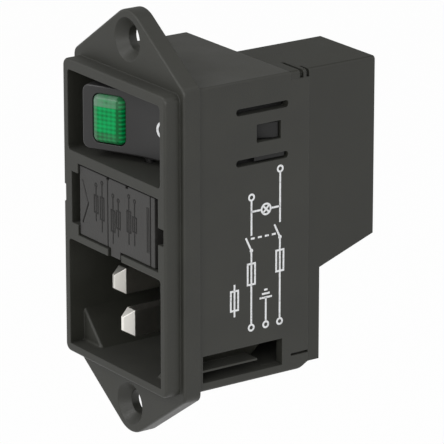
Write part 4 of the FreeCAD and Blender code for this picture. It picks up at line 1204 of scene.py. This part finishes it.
@dataclass
class Studio:
    """Pale floor, soft lamps, white surroundings and the camera at the photograph's angle."""

    eye: tuple[float, float, float] = (455.32, -302.84, 177.05)
    aim: tuple[float, float, float] = (17.54, 1.65, 4.19)
    focal_length: float = 317.43
    sensor_width: float = 36.0
    near_and_far: tuple[float, float] = (0.01, 20.0)
    floor_drop: float = 70.0
    floor_radius: float = 6.0
    floor_segments: int = 64
    floor_grey: float = 0.88
    floor_glow: float = 0.97
    surroundings: float = 0.45
    lamps: tuple[Softbox, ...] = (
        Softbox("key_softbox", (-150, -520, 420), 230, 1.3),
        Softbox("front_softbox", (360, -420, 190), 240, 1.1),
        Softbox("side_softbox", (620, -60, 260), 380, 0.6),
        Softbox("top_softbox", (60, 60, 620), 420, 0.45),
    )

    def build(self) -> None:
        """Sets up everything around the object."""
        self.add_camera()
        self.light_world()
        self.add_floor()
        for lamp in self.lamps:
            lamp.build()
        bpy.context.scene.view_settings.view_transform = "Standard"

    def add_camera(self) -> None:
        """Stands the camera at its place and aims it."""
        lens = bpy.data.cameras.new("photo_camera")
        lens.sensor_width = self.sensor_width
        lens.lens = self.focal_length
        lens.clip_start, lens.clip_end = self.near_and_far
        camera = bpy.data.objects.new("photo_camera", lens)
        camera.location = Vector(self.eye) * MM
        camera.rotation_mode = "QUATERNION"
        camera.rotation_quaternion = (Vector(self.aim) - Vector(self.eye)).to_track_quat("-Z", "Y")
        bpy.context.scene.collection.objects.link(camera)
        bpy.context.scene.camera = camera

    @staticmethod
    def seen(tree: bpy.types.NodeTree) -> bpy.types.NodeSocket:
        """Returns a socket that is 1 for rays from the camera, a glossy surface or clear glass.

        Args:
            tree: The node tree that the nodes are added to.

        Returns:
            The output socket.
        """
        path = tree.nodes.new("ShaderNodeLightPath")
        total = path.outputs["Is Camera Ray"]
        for name in ("Is Glossy Ray", "Is Transmission Ray"):
            either = tree.nodes.new("ShaderNodeMath")
            either.operation = "MAXIMUM"
            tree.links.new(total, either.inputs[0])
            tree.links.new(path.outputs[name], either.inputs[1])
            total = either.outputs[0]
        return total

    def light_world(self) -> None:
        """Makes the surroundings white to look at and soft in what they light."""
        world = bpy.data.worlds.new("white_room")
        world.use_nodes = True
        tree = world.node_tree
        tree.nodes.clear()
        plain = tree.nodes.new("ShaderNodeBackground")
        plain.inputs["Strength"].default_value = self.surroundings
        white = tree.nodes.new("ShaderNodeBackground")
        for sky in (plain, white):
            sky.inputs["Color"].default_value = (1, 1, 1, 1)
        mixed = tree.nodes.new("ShaderNodeMixShader")
        ending = tree.nodes.new("ShaderNodeOutputWorld")
        tree.links.new(self.seen(tree), mixed.inputs[0])
        tree.links.new(plain.outputs[0], mixed.inputs[1])
        tree.links.new(white.outputs[0], mixed.inputs[2])
        tree.links.new(mixed.outputs[0], ending.inputs["Surface"])
        bpy.context.scene.world = world

    def add_floor(self) -> None:
        """Lays a wide pale floor under the object, which takes its shadow."""
        sheet = NodeSheet("pale_floor")
        grey = self.floor_grey
        matt = sheet.node("ShaderNodeBsdfDiffuse", inputs={"Color": (grey, grey, grey, 1)})
        glow = sheet.node("ShaderNodeEmission", inputs={"Color": (1, 1, 1, 1), "Strength": 1.0})
        share = Signal(sheet, self.seen(sheet.tree)) * self.floor_glow
        sheet.node_output(sheet.node("ShaderNodeMixShader", inputs={0: share, 1: matt, 2: glow}))
        disc = bmesh.new()
        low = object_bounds()[0].z - self.floor_drop * MM
        bmesh.ops.create_circle(disc, cap_ends=True, segments=self.floor_segments,
                                radius=self.floor_radius, matrix=Matrix.Translation((0, 0, low)))
        data = bpy.data.meshes.new("floor")
        disc.to_mesh(data)
        disc.free()
        data.materials.append(sheet.material)
        floor = bpy.data.objects.new("floor", data)
        bpy.context.scene.collection.objects.link(floor)
        floor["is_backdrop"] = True


def main() -> None:
    """Builds the sub-assemblies in order."""
    logging.basicConfig(level=logging.INFO, format="%(message)s")
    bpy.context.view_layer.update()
    ink = PrintedInk("white_ink", (0.80, 0.81, 0.82)).material()
    Case().build()
    WiringDiagram().build(ink)
    RockerSwitch().build(ink)
    FuseDrawer().build()
    ContactWork().build()
    Studio().build()


if __name__ == "__main__":
    main()
